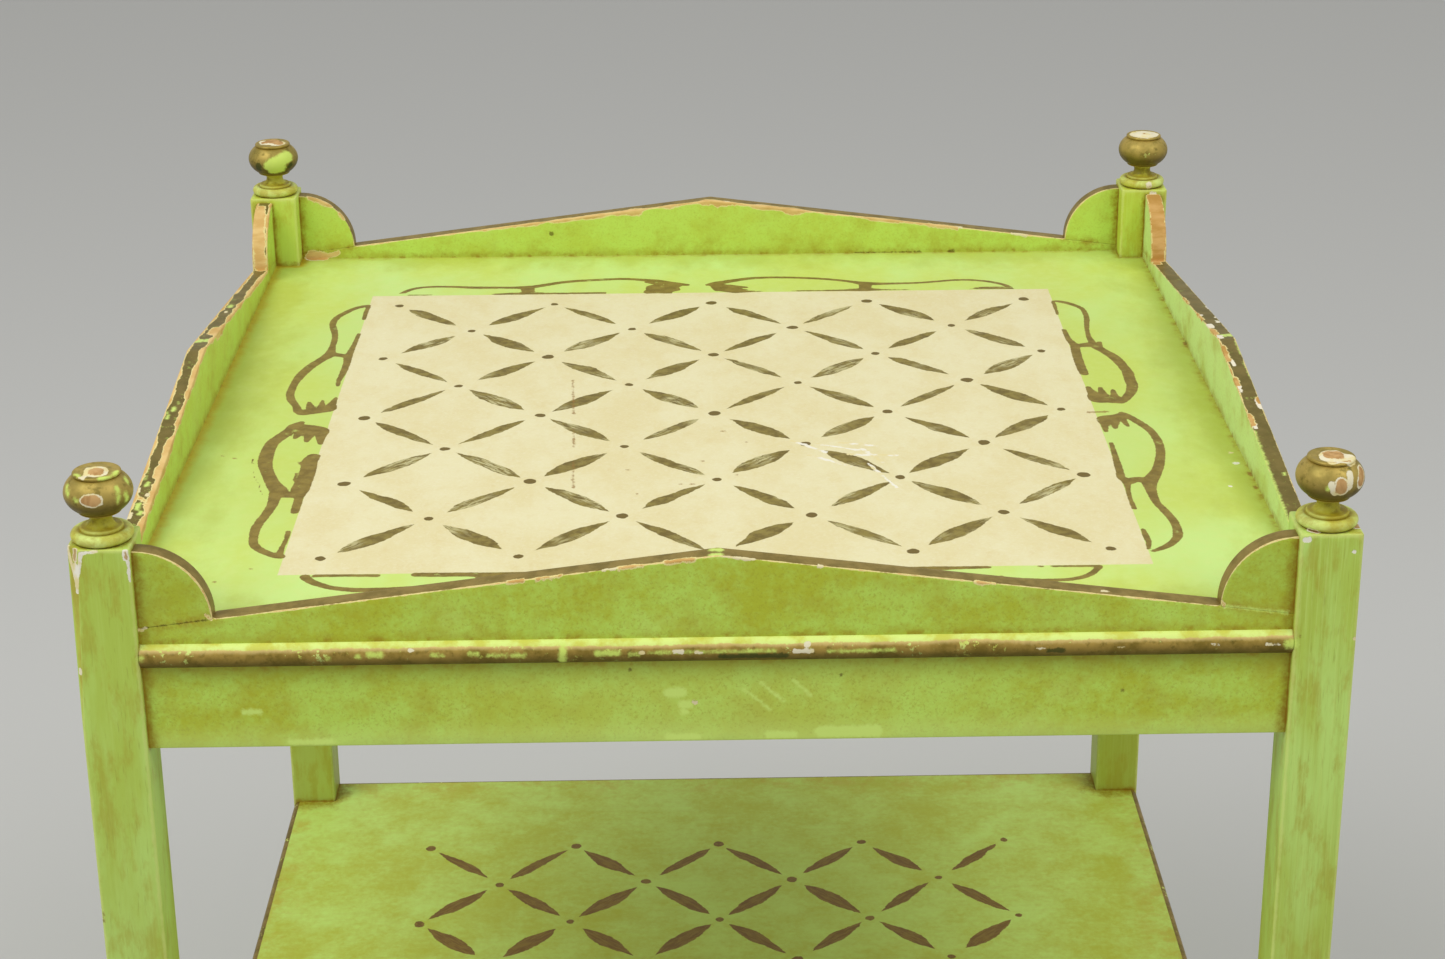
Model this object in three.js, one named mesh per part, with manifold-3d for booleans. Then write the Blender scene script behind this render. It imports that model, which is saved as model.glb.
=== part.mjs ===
// A square side table in two tiers. Four posts carry a tray on top, with low gabled galleries,
// quarter-round ears and turned finials, and a shelf below.
// Millimetres, +Z up. The front is -Y, and the origin is on the floor under the middle of the table.
import * as THREE from "three";
import { mergeVertices } from "three/addons/utils/BufferGeometryUtils.js";
import Module from "manifold-3d";

const wasm = await Module();
wasm.setup();

// The table as a whole
const postSpacing = 580; // from middle to middle of the posts, the same both ways
const trayHeight = 620; // floor to the surface of the tray
const tierRise = 405; // surface of the shelf to the surface of the tray
const fit = 0.3; // the glue line or working gap between neighbouring pieces

// Posts
const postSide = 30;
const postRise = 46.5; // how far the posts stand above the tray
const postEase = 1.5; // how far each long edge is cut back
const faceSetback = 4.5; // how far the boards lie behind the outside of the posts

// Boards between the posts
const panelThickness = 12; // tray panel and shelf panel
const galleryThickness = 10;
const galleryEndRise = 4; // top of a gallery board above the tray, at the posts
const galleryPeakRise = 38; // the same at the middle of the side
const galleryHousing = 5; // how deep the gallery ends go into the posts
const earRadius = 35;
const earSegments = 12;
const apronThickness = 16;
const apronDrop = 60; // bottom edge of the apron below the surface of the tray
const railHeight = 32; // rails under the shelf

// Tenons of the aprons and rails
const tenonThickness = 8;
const tenonShoulder = 6; // step above and below a tenon
const tenonWall = 1.5; // wood left between the two tenons that meet in a post

// Half-round beads
const beadHeight = 12;
const beadLift = 1.6; // middle of the tray's bead above the joint that it covers
const beadSegments = 10;

// Finials
const finialHeight = 35.5; // above the post
const baseBeadDiameter = 29.6;
const baseBeadHeight = 5.6;
const stepDiameter = 20.4;
const stepHeight = 1.7;
const neckDiameter = 10.6;
const collarDiameter = 20;
const collarRise = 14.4; // underside of the collar above the post
const collarHeight = 0.8;
const ballDiameter = 32.4;
const ballRise = 24.2; // middle of the ball above the post
const ballHeight = 23.4; // height of the whole oval that the ball is cut from
const capDiameter = 23.4;
const capGroove = 0.6; // depth of the groove under the cap
const capHeight = 2.6;
const capFlatDiameter = 12;
const spigotDiameter = 10;
const spigotLength = 20;
const spigotChamfer = 1;
const spigotRelief = 2; // air under the spigot
const finialSides = 16;
const curveSteps = 4;
const ballSteps = 7;

// Corner blocks and their screws
const blockReach = 60; // length of a block along each apron
const blockHeight = 26;
const screwDiameter = 4;
const screwHeadDiameter = 8;
const screwHeadHeight = 3;
const screwBite = 8; // length of screw in the tray panel
const screwPoint = 2;
const screwInset = 24; // screw from the inner faces of the aprons
const screwSides = 12;

const overrun = 2; // how far a cutter runs past the face that it cuts

// Planes that several pieces share
const postMiddle = postSpacing / 2;
const postInner = postMiddle - postSide / 2;
const postOuter = postMiddle + postSide / 2;
const postTop = trayHeight + postRise;
const boardFace = postOuter - faceSetback; // outside of galleries, aprons, rails and shelf panel
const galleryInner = boardFace - galleryThickness;
const apronInner = boardFace - apronThickness;
const shelfHeight = trayHeight - tierRise;
const galleryBottom = trayHeight - panelThickness;
const apronTop = galleryBottom - fit;
const apronBottom = trayHeight - apronDrop;
const railTop = shelfHeight - panelThickness - fit;
const railBottom = railTop - railHeight;
const tenonMiddle = boardFace - apronThickness / 2;
const tenonInner = tenonMiddle - tenonThickness / 2;
const tenonOuter = tenonMiddle + tenonThickness / 2;
const tenonLength = tenonInner - postInner - tenonWall - 2 * fit;

const paint = {
  post: 0xa5be55,
  board: 0xa0b446,
  tray: 0xc8e678,
  shelf: 0xaabe55,
  gilt: 0x786440,
  finial: 0x8c7838,
  wood: 0xb08a5a,
  steel: 0x9a9a96,
};

function material(colour, roughness = 0.55, metalness = 0) {
  return new THREE.MeshStandardMaterial({ color: colour, roughness, metalness });
}

// Turns a closed geometry into a solid that can be joined and cut.
function solid(geometry) {
  const bare = geometry.clone();
  bare.deleteAttribute("normal");
  bare.deleteAttribute("uv");
  const merged = mergeVertices(bare);
  return new wasm.Manifold(
    new wasm.Mesh({
      numProp: 3,
      vertProperties: merged.getAttribute("position").array,
      triVerts: new Uint32Array(merged.index.array),
    }),
  );
}

// Turns a solid back into a geometry with flat-shaded faces.
function geometryOf(made) {
  const mesh = made.getMesh();
  const geometry = new THREE.BufferGeometry();
  geometry.setAttribute("position", new THREE.BufferAttribute(mesh.vertProperties, 3));
  geometry.setIndex(new THREE.BufferAttribute(mesh.triVerts, 1));
  const flat = geometry.toNonIndexed();
  flat.computeVertexNormals();
  return flat;
}

// A box between two corners.
function box(low, high) {
  const size = high.map((value, axis) => value - low[axis]);
  const middle = high.map((value, axis) => (value + low[axis]) / 2);
  return new THREE.BoxGeometry(...size).translate(...middle);
}

function outline(points) {
  return new THREE.Shape(points.map(([x, y]) => new THREE.Vector2(x, y)));
}

// An outline drawn in plan, X and Y, raised from one height to another.
function raisePlan(shape, bottom, top) {
  const geometry = new THREE.ExtrudeGeometry(shape, { depth: top - bottom, bevelEnabled: false });
  return geometry.translate(0, 0, bottom);
}

// An outline drawn as seen from the front, X and Z, made thick from an inner plane outwards.
function thickenBoard(shape, inner, outer, curveSegments) {
  const settings = { depth: outer - inner, bevelEnabled: false, curveSegments };
  const geometry = new THREE.ExtrudeGeometry(shape, settings);
  geometry.rotateX(Math.PI / 2);
  return geometry.translate(0, -inner, 0);
}

// A section drawn in Y and Z, run along X between two planes.
function runAlong(shape, start, end, curveSegments) {
  const settings = { depth: end - start, bevelEnabled: false, curveSegments };
  const geometry = new THREE.ExtrudeGeometry(shape, settings);
  const turn = new THREE.Matrix4().makeBasis(
    new THREE.Vector3(0, 1, 0),
    new THREE.Vector3(0, 0, 1),
    new THREE.Vector3(1, 0, 0),
  );
  return geometry.applyMatrix4(turn).translate(start, 0, 0);
}

// A profile of radius and height, turned round a vertical axis.
function turned(points, sides) {
  const profile = points.map(([radius, height]) => new THREE.Vector2(radius, height));
  return new THREE.LatheGeometry(profile, sides);
}

// Swaps X and Y of a box's corner, for the matching joint on the next side of a corner post.
function swapped([x, y, z]) {
  return [y, x, z];
}

// Height of a gallery's top edge at a distance from the middle of the side.
function gableHeight(distance) {
  const share = (postInner - distance) / postInner;
  return trayHeight + galleryEndRise + (galleryPeakRise - galleryEndRise) * share;
}

// The post of the front left corner. Boards enter it from its right and from behind.
function postGeometry() {
  const half = postSide / 2;
  const flat = half - postEase;
  const section = outline([
    [flat, -half],
    [half, -flat],
    [half, flat],
    [flat, half],
    [-flat, half],
    [-half, flat],
    [-half, -flat],
    [-flat, -half],
  ]);
  const blank = raisePlan(section, 0, postTop).translate(-postMiddle, -postMiddle, 0);
  const cuts = [];
  const pocket = (depth, inner, outer, bottom, top) => {
    const low = [-postInner - depth - fit, -outer - fit, bottom - fit];
    const high = [-postInner + overrun, -inner + fit, top + fit];
    cuts.push(box(low, high), box(swapped(low), swapped(high)));
  };
  pocket(galleryHousing, galleryInner, boardFace, galleryBottom, trayHeight + galleryEndRise);
  for (const [bottom, top] of [
    [apronBottom, apronTop],
    [railBottom, railTop],
  ]) {
    pocket(tenonLength, tenonInner, tenonOuter, bottom + tenonShoulder, top - tenonShoulder);
  }
  const boreDepth = spigotLength + spigotRelief;
  const bore = new THREE.CylinderGeometry(
    spigotDiameter / 2 + fit,
    spigotDiameter / 2 + fit,
    boreDepth + overrun,
    finialSides,
  );
  bore.rotateX(Math.PI / 2);
  cuts.push(bore.translate(-postMiddle, -postMiddle, postTop + (overrun - boreDepth) / 2));
  return geometryOf(cuts.reduce((made, cut) => made.subtract(solid(cut)), solid(blank)));
}

// A finial standing on the post of the front left corner.
function finialGeometry() {
  const arc = (middle, rise, radius, height, from, to, steps) => {
    const points = [];
    for (let step = 0; step <= steps; step += 1) {
      const angle = from + ((to - from) * step) / steps;
      points.push([middle + radius * Math.cos(angle), rise + height * Math.sin(angle)]);
    }
    return points;
  };
  const spigotRadius = spigotDiameter / 2;
  const beadRound = baseBeadHeight / 2;
  const beadMiddle = baseBeadDiameter / 2 - beadRound;
  const stepTop = fit + baseBeadHeight + stepHeight;
  const neckRadius = neckDiameter / 2;
  const coveDepth = stepDiameter / 2 - neckRadius;
  const coveRise = (collarRise - stepTop) / 2;
  const flare = collarDiameter / 2 - neckRadius;
  const ballRadius = ballDiameter / 2;
  const grooveRadius = capDiameter / 2 - capGroove;
  const ballStart = -Math.acos(collarDiameter / ballDiameter);
  const ballEnd = Math.acos(grooveRadius / ballRadius);
  const capBottom = finialHeight - capHeight;
  const capShoulder = capHeight / 2;
  const profile = [
    [0, -spigotLength],
    [spigotRadius - spigotChamfer, -spigotLength],
    [spigotRadius, spigotChamfer - spigotLength],
    [spigotRadius, fit],
    ...arc(beadMiddle, fit + beadRound, beadRound, beadRound, -Math.PI / 2, Math.PI / 2, curveSteps),
    [stepDiameter / 2, fit + baseBeadHeight],
    ...arc(stepDiameter / 2, stepTop + coveRise, -coveDepth, -coveRise, Math.PI / 2, 0, curveSteps),
    ...arc(neckRadius + flare, stepTop + coveRise, -flare, coveRise, 0, Math.PI / 2, curveSteps).slice(1),
    [collarDiameter / 2, collarRise + collarHeight],
    ...arc(0, ballRise, ballRadius, ballHeight / 2, ballStart, ballEnd, ballSteps).slice(1),
    [capDiameter / 2, capBottom],
    [capDiameter / 2, capBottom + capShoulder],
    [capFlatDiameter / 2, finialHeight],
    [0, finialHeight],
  ];
  return turned(profile, finialSides).rotateX(Math.PI / 2).translate(-postMiddle, -postMiddle, postTop);
}

// The gallery board of the front, with its ends let into the posts.
function galleryGeometry() {
  const tip = postInner + galleryHousing;
  const endTop = gableHeight(postInner);
  const shape = outline([
    [-tip, galleryBottom],
    [tip, galleryBottom],
    [tip, endTop],
    [postInner, endTop],
    [0, gableHeight(0)],
    [-postInner, endTop],
    [-tip, endTop],
  ]);
  return thickenBoard(shape, galleryInner, boardFace);
}

// An ear of the front, on the left end of its gallery board or, with side 1, on the right end.
function earGeometry(side) {
  const root = postInner - fit; // plane of the ear against the post
  const foot = root - earRadius; // where the ear's curve comes down on the gable
  const seat = (distance) => gableHeight(distance) + fit;
  const shape = new THREE.Shape();
  shape.moveTo(-root, seat(root));
  shape.lineTo(-foot, seat(foot));
  shape.absarc(-root, seat(foot), earRadius, 0, Math.PI / 2, false);
  shape.closePath();
  const geometry = thickenBoard(shape, galleryInner, boardFace, earSegments);
  if (side < 0) return geometry;
  geometry.rotateZ(Math.PI);
  return geometry.translate(0, -galleryInner - boardFace, 0);
}

// A board between two posts with a tenon at each end, for the aprons and the shelf rails.
function tenonedGeometry(bottom, top) {
  const shoulder = postInner - fit;
  const tip = postInner + tenonLength;
  const body = box([-shoulder, -boardFace, bottom], [shoulder, -apronInner, top]);
  const tongue = box(
    [-tip, -tenonOuter, bottom + tenonShoulder],
    [tip, -tenonInner, top - tenonShoulder],
  );
  return geometryOf(solid(body).add(solid(tongue)));
}

// A half-round bead on the face of the front boards, as proud as the posts.
function beadGeometry(middle) {
  const back = -boardFace - fit;
  const end = postInner - fit;
  const shape = new THREE.Shape();
  shape.absellipse(back, middle, faceSetback - fit, beadHeight / 2, Math.PI / 2, Math.PI * 1.5, false);
  shape.closePath();
  return runAlong(shape, -end, end, beadSegments);
}

// A square panel with its corners cut away for the posts.
function panelOutline(half) {
  const notch = postInner - fit;
  const corner = [
    [notch, -half],
    [notch, -notch],
    [half, -notch],
  ];
  const quarter = (points) => points.map(([x, y]) => [-y, x]);
  const all = [];
  let points = corner;
  for (let side = 0; side < 4; side += 1) {
    all.push(...points);
    points = quarter(points);
  }
  return outline(all);
}

// A screw in the front left corner block, head down, with its length from the head's face.
const screwLength = blockHeight + fit + screwBite;
const screwBottom = galleryBottom - fit - blockHeight;
const screwPlace = apronInner - screwInset;

function screwGeometry() {
  const shank = screwDiameter / 2;
  const profile = [
    [0, 0],
    [screwHeadDiameter / 2, 0],
    [shank, screwHeadHeight],
    [shank, screwLength - screwPoint],
    [0, screwLength],
  ];
  const geometry = turned(profile, screwSides).rotateX(Math.PI / 2);
  return geometry.translate(-screwPlace, -screwPlace, screwBottom);
}

// The hole for that screw, a working gap larger all round.
function screwHoleGeometry() {
  const shank = screwDiameter / 2 + fit;
  const profile = [
    [0, -overrun],
    [screwHeadDiameter / 2 + fit, -overrun],
    [screwHeadDiameter / 2 + fit, 0],
    [shank, screwHeadHeight],
    [shank, screwLength + fit],
    [0, screwLength + fit],
  ];
  const geometry = turned(profile, screwSides).rotateX(Math.PI / 2);
  return geometry.translate(-screwPlace, -screwPlace, screwBottom);
}

function trayPanelGeometry() {
  const blank = raisePlan(panelOutline(galleryInner - fit), galleryBottom, trayHeight);
  let made = solid(blank);
  for (let corner = 0; corner < 4; corner += 1) {
    made = made.subtract(solid(screwHoleGeometry().rotateZ((corner * Math.PI) / 2)));
  }
  return geometryOf(made);
}

function shelfPanelGeometry() {
  return raisePlan(panelOutline(boardFace), shelfHeight - panelThickness, shelfHeight);
}

// The glue block behind the aprons of the front left corner, cut out for the post.
function blockGeometry() {
  const wall = apronInner - fit;
  const post = postInner - fit;
  const far = wall - blockReach;
  const shape = outline([
    [-far, -wall],
    [-wall, -far],
    [-wall, -post],
    [-post, -post],
    [-post, -wall],
  ]);
  const blank = raisePlan(shape, screwBottom, galleryBottom - fit);
  return geometryOf(solid(blank).subtract(solid(screwHoleGeometry())));
}

const table = new THREE.Group();
table.name = "tiered_side_table";

function place(group, name, geometry, look) {
  const mesh = new THREE.Mesh(geometry, look);
  mesh.name = name;
  group.add(mesh);
}

// Each side is the front one turned about the middle of the table, and so is each corner.
const sides = [
  { name: "front", ends: ["left", "right"], corner: "front_left" },
  { name: "right", ends: ["front", "back"], corner: "front_right" },
  { name: "back", ends: ["right", "left"], corner: "back_right" },
  { name: "left", ends: ["back", "front"], corner: "back_left" },
];

const trayBeadMiddle = galleryBottom + beadLift;
const shelfBeadMiddle = shelfHeight - beadHeight / 2;

sides.forEach(({ name, ends, corner }, index) => {
  const group = new THREE.Group();
  group.rotation.z = (index * Math.PI) / 2;
  table.add(group);
  place(group, `post_${corner}`, postGeometry(), material(paint.post));
  place(group, `finial_${corner}`, finialGeometry(), material(paint.finial, 0.4, 0.5));
  place(group, `gallery_${name}`, galleryGeometry(), material(paint.board));
  place(group, `ear_${name}_${ends[0]}`, earGeometry(-1), material(paint.board));
  place(group, `ear_${name}_${ends[1]}`, earGeometry(1), material(paint.board));
  place(group, `tray_bead_${name}`, beadGeometry(trayBeadMiddle), material(paint.gilt, 0.4, 0.5));
  place(group, `apron_${name}`, tenonedGeometry(apronBottom, apronTop), material(paint.board));
  place(group, `rail_${name}`, tenonedGeometry(railBottom, railTop), material(paint.board));
  place(group, `shelf_bead_${name}`, beadGeometry(shelfBeadMiddle), material(paint.gilt, 0.4, 0.5));
  place(group, `corner_block_${corner}`, blockGeometry(), material(paint.wood, 0.8));
  place(group, `tray_screw_${corner}`, screwGeometry(), material(paint.steel, 0.4, 0.9));
});

place(table, "tray_panel", trayPanelGeometry(), material(paint.tray));
place(table, "shelf_panel", shelfPanelGeometry(), material(paint.shelf));

export default table;
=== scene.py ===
# %% [markdown]
# # A painted side table in two tiers
# The table has four square posts with turned finials. They carry a tray with low gabled
# galleries on top, and an open shelf below. The wood is painted lime green, glazed with amber,
# gilded along its edges with bronze, and worn.
#
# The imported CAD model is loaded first, and every piece here is built in the place that it gives.

import math

import bmesh
import bpy
import numpy as np
from mathutils import Matrix, Vector
from mathutils.bvhtree import BVHTree


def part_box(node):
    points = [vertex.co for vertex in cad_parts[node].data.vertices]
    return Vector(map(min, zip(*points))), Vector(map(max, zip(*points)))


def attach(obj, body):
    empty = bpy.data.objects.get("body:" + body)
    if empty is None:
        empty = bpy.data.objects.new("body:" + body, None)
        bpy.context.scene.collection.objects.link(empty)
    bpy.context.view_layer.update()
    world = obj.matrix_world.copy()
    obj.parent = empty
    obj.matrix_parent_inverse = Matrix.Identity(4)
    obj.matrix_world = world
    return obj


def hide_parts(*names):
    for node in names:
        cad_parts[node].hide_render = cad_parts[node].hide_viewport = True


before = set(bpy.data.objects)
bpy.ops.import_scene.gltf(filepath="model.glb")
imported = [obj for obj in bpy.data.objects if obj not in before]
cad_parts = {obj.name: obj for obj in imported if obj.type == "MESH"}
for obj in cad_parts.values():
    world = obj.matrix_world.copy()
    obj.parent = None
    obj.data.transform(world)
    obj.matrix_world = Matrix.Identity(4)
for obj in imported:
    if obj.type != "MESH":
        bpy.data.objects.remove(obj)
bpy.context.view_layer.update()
MM = 0.001

# %% [markdown]
# ## Camera
# The photograph was taken a little above the table and almost square to its front. A long lens
# keeps the sides nearly parallel. The camera's place and turn come from matching corners of the
# table to the photograph. Photographers often crop off centre, and the small shift stands for
# that: it moves the picture without turning the camera.

# %% The camera
PHOTO_WIDTH = 1445
PHOTO_FOCUS = 2761.11
CAMERA_PLACE = Vector((-0.0054017, -1.4936682, 1.1833819))
CAMERA_YAW, CAMERA_PITCH, CAMERA_ROLL = (math.radians(a) for a in (1.1989, -20.9538, -0.2468))
CENTRE_SHIFT = (-0.02494, -0.04143)
SENSOR = 36.0


def make_camera():
    """The camera of the photograph, from its yaw, pitch and roll."""
    flat = math.cos(CAMERA_PITCH)
    ahead = Vector((math.sin(CAMERA_YAW) * flat, math.cos(CAMERA_YAW) * flat, math.sin(CAMERA_PITCH)))
    right = Vector((math.cos(CAMERA_YAW), -math.sin(CAMERA_YAW), 0.0))
    over = right.cross(ahead)
    rolled_right = math.cos(CAMERA_ROLL) * right + math.sin(CAMERA_ROLL) * over
    rolled_over = math.cos(CAMERA_ROLL) * over - math.sin(CAMERA_ROLL) * right
    turn = Matrix((rolled_right, rolled_over, -ahead)).transposed()
    lens = bpy.data.cameras.new("photo_lens")
    lens.sensor_width = SENSOR
    lens.sensor_fit = "HORIZONTAL"
    lens.lens = PHOTO_FOCUS / PHOTO_WIDTH * SENSOR
    lens.shift_x, lens.shift_y = CENTRE_SHIFT
    lens.clip_end = 30
    camera = bpy.data.objects.new("photo_camera", lens)
    bpy.context.scene.collection.objects.link(camera)
    camera.matrix_world = Matrix.Translation(CAMERA_PLACE) @ turn.to_4x4()
    bpy.context.scene.camera = camera
    return camera


camera = make_camera()
print("camera with a lens of", round(camera.data.lens, 2), "mm")

# %% [markdown]
# ## Light and floor
# The table stands in plain soft studio light: an even pale surround, and two broad lamps high
# up in front, the left one the stronger. Together they light a level surface to about the value
# that its colour is written with, and upright faces less, as in the photograph.
#
# Colours are written as a colour picker shows them, from 0 to 255. Blender works with linear
# light, so a small helper turns one into the other.

# %% Colours, floor and light


def picked(red, green, blue):
    """A colour picker's numbers as a linear colour."""
    shares = [c / 255 for c in (red, green, blue)]
    return tuple(c / 12.92 if c <= 0.04045 else ((c + 0.055) / 1.055) ** 2.4 for c in shares) + (1.0,)


FLOOR_COLOUR = picked(206, 206, 203)
SURROUND_COLOUR = picked(232, 232, 230)
SURROUND_STRENGTH = 0.62
LAMP_POWER = {"left": 49, "right": 31}
LAMP_SIZE = 1.8
LAMP_PLACE = (1.7, -1.1, 3.1)


def make_floor():
    shape = bmesh.new()
    bmesh.ops.create_grid(shape, x_segments=1, y_segments=1, size=25)
    mesh = bpy.data.meshes.new("studio_floor")
    shape.to_mesh(mesh)
    shape.free()
    floor = bpy.data.objects.new("studio_floor", mesh)
    bpy.context.scene.collection.objects.link(floor)
    paper = bpy.data.materials.new("studio_paper")
    paper.use_nodes = True
    shader = paper.node_tree.nodes["Principled BSDF"]
    shader.inputs["Base Color"].default_value = FLOOR_COLOUR
    shader.inputs["Roughness"].default_value = 0.9
    mesh.materials.append(paper)
    return floor


def make_lamp(name, place, power, target):
    lamp = bpy.data.lights.new(name, "AREA")
    lamp.shape = "SQUARE"
    lamp.size = LAMP_SIZE
    lamp.energy = power
    holder = bpy.data.objects.new(name, lamp)
    bpy.context.scene.collection.objects.link(holder)
    holder.location = place
    holder.rotation_euler = (Vector(target) - Vector(place)).to_track_quat("-Z", "Y").to_euler()


def make_light():
    for name, side in (("left", -1), ("right", 1)):
        place = (side * LAMP_PLACE[0], *LAMP_PLACE[1:])
        make_lamp(name + "_lamp", place, LAMP_POWER[name], (0, 0, 0.5))
    world = bpy.data.worlds.new("pale_surround")
    world.use_nodes = True
    background = world.node_tree.nodes["Background"]
    background.inputs["Color"].default_value = SURROUND_COLOUR
    background.inputs["Strength"].default_value = SURROUND_STRENGTH
    bpy.context.scene.world = world


make_floor()
make_light()
bpy.context.scene.view_settings.view_transform = "Standard"
print("floor, lamps and surround made")

# %% [markdown]
# ## Measures of the table
# The four sides of the table are one side turned about its middle, and so are the four
# corners. So each kind of piece is modelled once, at the front or the front left corner, and
# turned copies go round. The measures are read from the solids at the front. The solids stand
# 0.3 mm apart for their glue, and paint fills these joints, so here the pieces touch.

# %% Planes shared by the pieces
post_low, post_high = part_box("post_front_left")
gallery_low, gallery_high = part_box("gallery_front")
apron_low, apron_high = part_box("apron_front")
rail_low, rail_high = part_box("rail_front")
tray_low, tray_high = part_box("tray_panel")
shelf_low, shelf_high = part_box("shelf_panel")
tray_bead_low, tray_bead_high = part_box("tray_bead_front")
shelf_bead_low, shelf_bead_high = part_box("shelf_bead_front")
ear_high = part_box("ear_front_left")[1]

POST_OUTER = -post_low.x
POST_INNER = -post_high.x
POST_MIDDLE = (POST_OUTER + POST_INNER) / 2
POST_TOP = post_high.z
BOARD_FACE = -gallery_low.y
GALLERY_INNER = -gallery_high.y
TRAY_TOP = tray_high.z
SHELF_TOP = shelf_high.z
GABLE_END = TRAY_TOP + 4 * MM
GABLE_PEAK = gallery_high.z
GABLE_SLOPE = math.atan2(GABLE_PEAK - GABLE_END, POST_INNER)
BOARD_END = POST_INNER
print("posts", POST_MIDDLE, "tray", TRAY_TOP, "shelf", SHELF_TOP, "peak", GABLE_PEAK)

# %% [markdown]
# ## From a rough shape to a finished piece
# Every piece is drawn with bmesh operators. Its mesh is then cut into small cells, not for
# its shape but for its paint: each corner of a cell carries measures in millimetres, such as
# how far it is from the next piece or from a gilded edge. The materials read these measures,
# and between the corners Blender fills them in evenly. A distance changes evenly, so a line
# of worn paint stays sharp even where the cells are larger than it.

# %% Drawing helpers


def slice_at(shape, axis, places):
    """Cuts the whole shape by planes across one axis."""
    normal = [0.0, 0.0, 0.0]
    normal["xyz".index(axis)] = 1.0
    for place in places:
        parts = [*shape.verts, *shape.edges, *shape.faces]
        point = [place * share for share in normal]
        bmesh.ops.bisect_plane(shape, geom=parts, dist=1e-7, plane_co=point, plane_no=normal)


def steps_between(low, high, step):
    """Places between two ends, evenly spread and about one step apart."""
    count = max(1, round((high - low) / step))
    return [low + (high - low) * k / count for k in range(1, count)]


def draw_block(low, high):
    """A box between two corners."""
    shape = bmesh.new()
    bmesh.ops.create_cube(shape, size=1.0)
    bmesh.ops.scale(shape, vec=[h - l for l, h in zip(low, high)], verts=shape.verts)
    bmesh.ops.translate(shape, vec=[(h + l) / 2 for l, h in zip(low, high)], verts=shape.verts)
    return shape


def thicken_outline(shape, corners, depth):
    """Fills an outline of a few corners and extrudes it."""
    face = shape.faces.new([shape.verts.new(corner) for corner in corners])
    raise_face(shape, face, depth)


def raise_face(shape, face, depth):
    grown = bmesh.ops.extrude_face_region(shape, geom=[face], use_keep_orig=True)
    moved = [part for part in grown["geom"] if isinstance(part, bmesh.types.BMVert)]
    bmesh.ops.translate(shape, vec=depth, verts=moved)
    bmesh.ops.recalc_face_normals(shape, faces=shape.faces)


def ease_edges(shape, chosen, width, segments):
    """Rounds the edges for which chosen(edge's ends) is true."""
    edges = [edge for edge in shape.edges if chosen(*(vert.co for vert in edge.verts))]
    bmesh.ops.bevel(
        shape, geom=edges, offset=width, segments=segments, profile=0.5, affect="EDGES", material=-1
    )
    return len(edges)


def draw_arc(shape, middle, wide, high, start, stop, steps):
    """A run of edges along an oval in the XZ plane, swept from one angle to another in degrees."""
    angle = math.radians(start)
    centre = Vector((middle[0], 0.0, middle[1]))
    first = shape.verts.new(centre + Vector((math.cos(angle), 0.0, math.sin(angle))))
    before = len(shape.verts) - 1
    sweep = math.radians(start - stop)
    bmesh.ops.spin(
        shape, geom=[first], cent=centre, axis=(0, 1, 0), angle=sweep, steps=steps, use_duplicate=False
    )
    shape.verts.ensure_lookup_table()
    run = list(shape.verts)[before:]
    bmesh.ops.scale(shape, vec=(wide, 1, high), space=Matrix.Translation(-centre), verts=run)
    return run


# %% [markdown]
# The measure called joint is the distance to the nearest other piece, and the one called
# corner is the distance to the nearest post. Glaze gathers there, as it does when a painter
# wipes it off the open faces. Search trees over the CAD solids answer them for every corner
# of the mesh.

# %% Measures for the paint
TURNS = {"front": 0, "right": 1, "back": 2, "left": 3}
CORNERS = ["front_left", "front_right", "back_right", "back_left"]


def node_tree(names):
    """A search tree over the solids of some nodes."""
    points, faces = [], []
    for name in names:
        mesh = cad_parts[name].data
        start = len(points)
        points.extend(vert.co.copy() for vert in mesh.vertices)
        faces.extend([start + v for v in face.vertices] for face in mesh.polygons)
    return BVHTree.FromPolygons(points, faces)


def neighbour_tree(own, ignored=()):
    """A search tree over every solid but a piece's own, and those that carry no paint."""
    left_out = ("tray_screw", "corner_block", *ignored)
    return node_tree(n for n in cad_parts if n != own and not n.startswith(left_out))


def mesh_places(mesh):
    """Every corner of a mesh as rows of x, y and z, in millimetres."""
    places = np.zeros(len(mesh.vertices) * 3)
    mesh.vertices.foreach_get("co", places)
    return places.reshape(-1, 3) / MM


def write_measure(mesh, name, values):
    attribute = mesh.attributes.new(name, "FLOAT", "POINT")
    attribute.data.foreach_set("value", np.asarray(values, np.float32))


def joint_measure(shape, tree):
    return [tree.find_nearest(vert.co)[3] / MM for vert in shape.verts]


POST_TREE = node_tree(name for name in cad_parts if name.startswith("post_"))


def near_measures(shape, own, ignored=()):
    """How far a shape's corners are from the nearest other piece, and from the nearest post."""
    return {
        "joint": joint_measure(shape, neighbour_tree(own, ignored)),
        "corner": joint_measure(shape, POST_TREE),
    }


print("measures ready")

# %% [markdown]
# ## Marks of wear
# The paint has its own history: knocks that went through to the wood, chips that show the
# white gesso, places touched up with brighter paint, and stains. Each mark is a capsule, given
# by its two ends and its radius in millimetres. The depth of every mesh corner inside the
# nearest mark becomes a measure, one for each kind of mark.
#
# Most marks lie along a side or on the tray, so they are written briefly: by how far along they
# begin and end, how far out from the table's middle they are, and how wide they are.

# %% Marks along the sides and on the tray
def gable_height(along):
    """Height of a gallery's top at a distance from its middle."""
    return GABLE_END + (GABLE_PEAK - GABLE_END) * (POST_INNER - np.abs(along)) / POST_INNER


def side_place(side, along, out, height):
    """A place in the table's frame, from a place along one of its sides."""
    flat = {"front": (along, -out), "right": (out, along), "back": (along, out), "left": (-out, along)}
    return (*flat[side], height)


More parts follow.
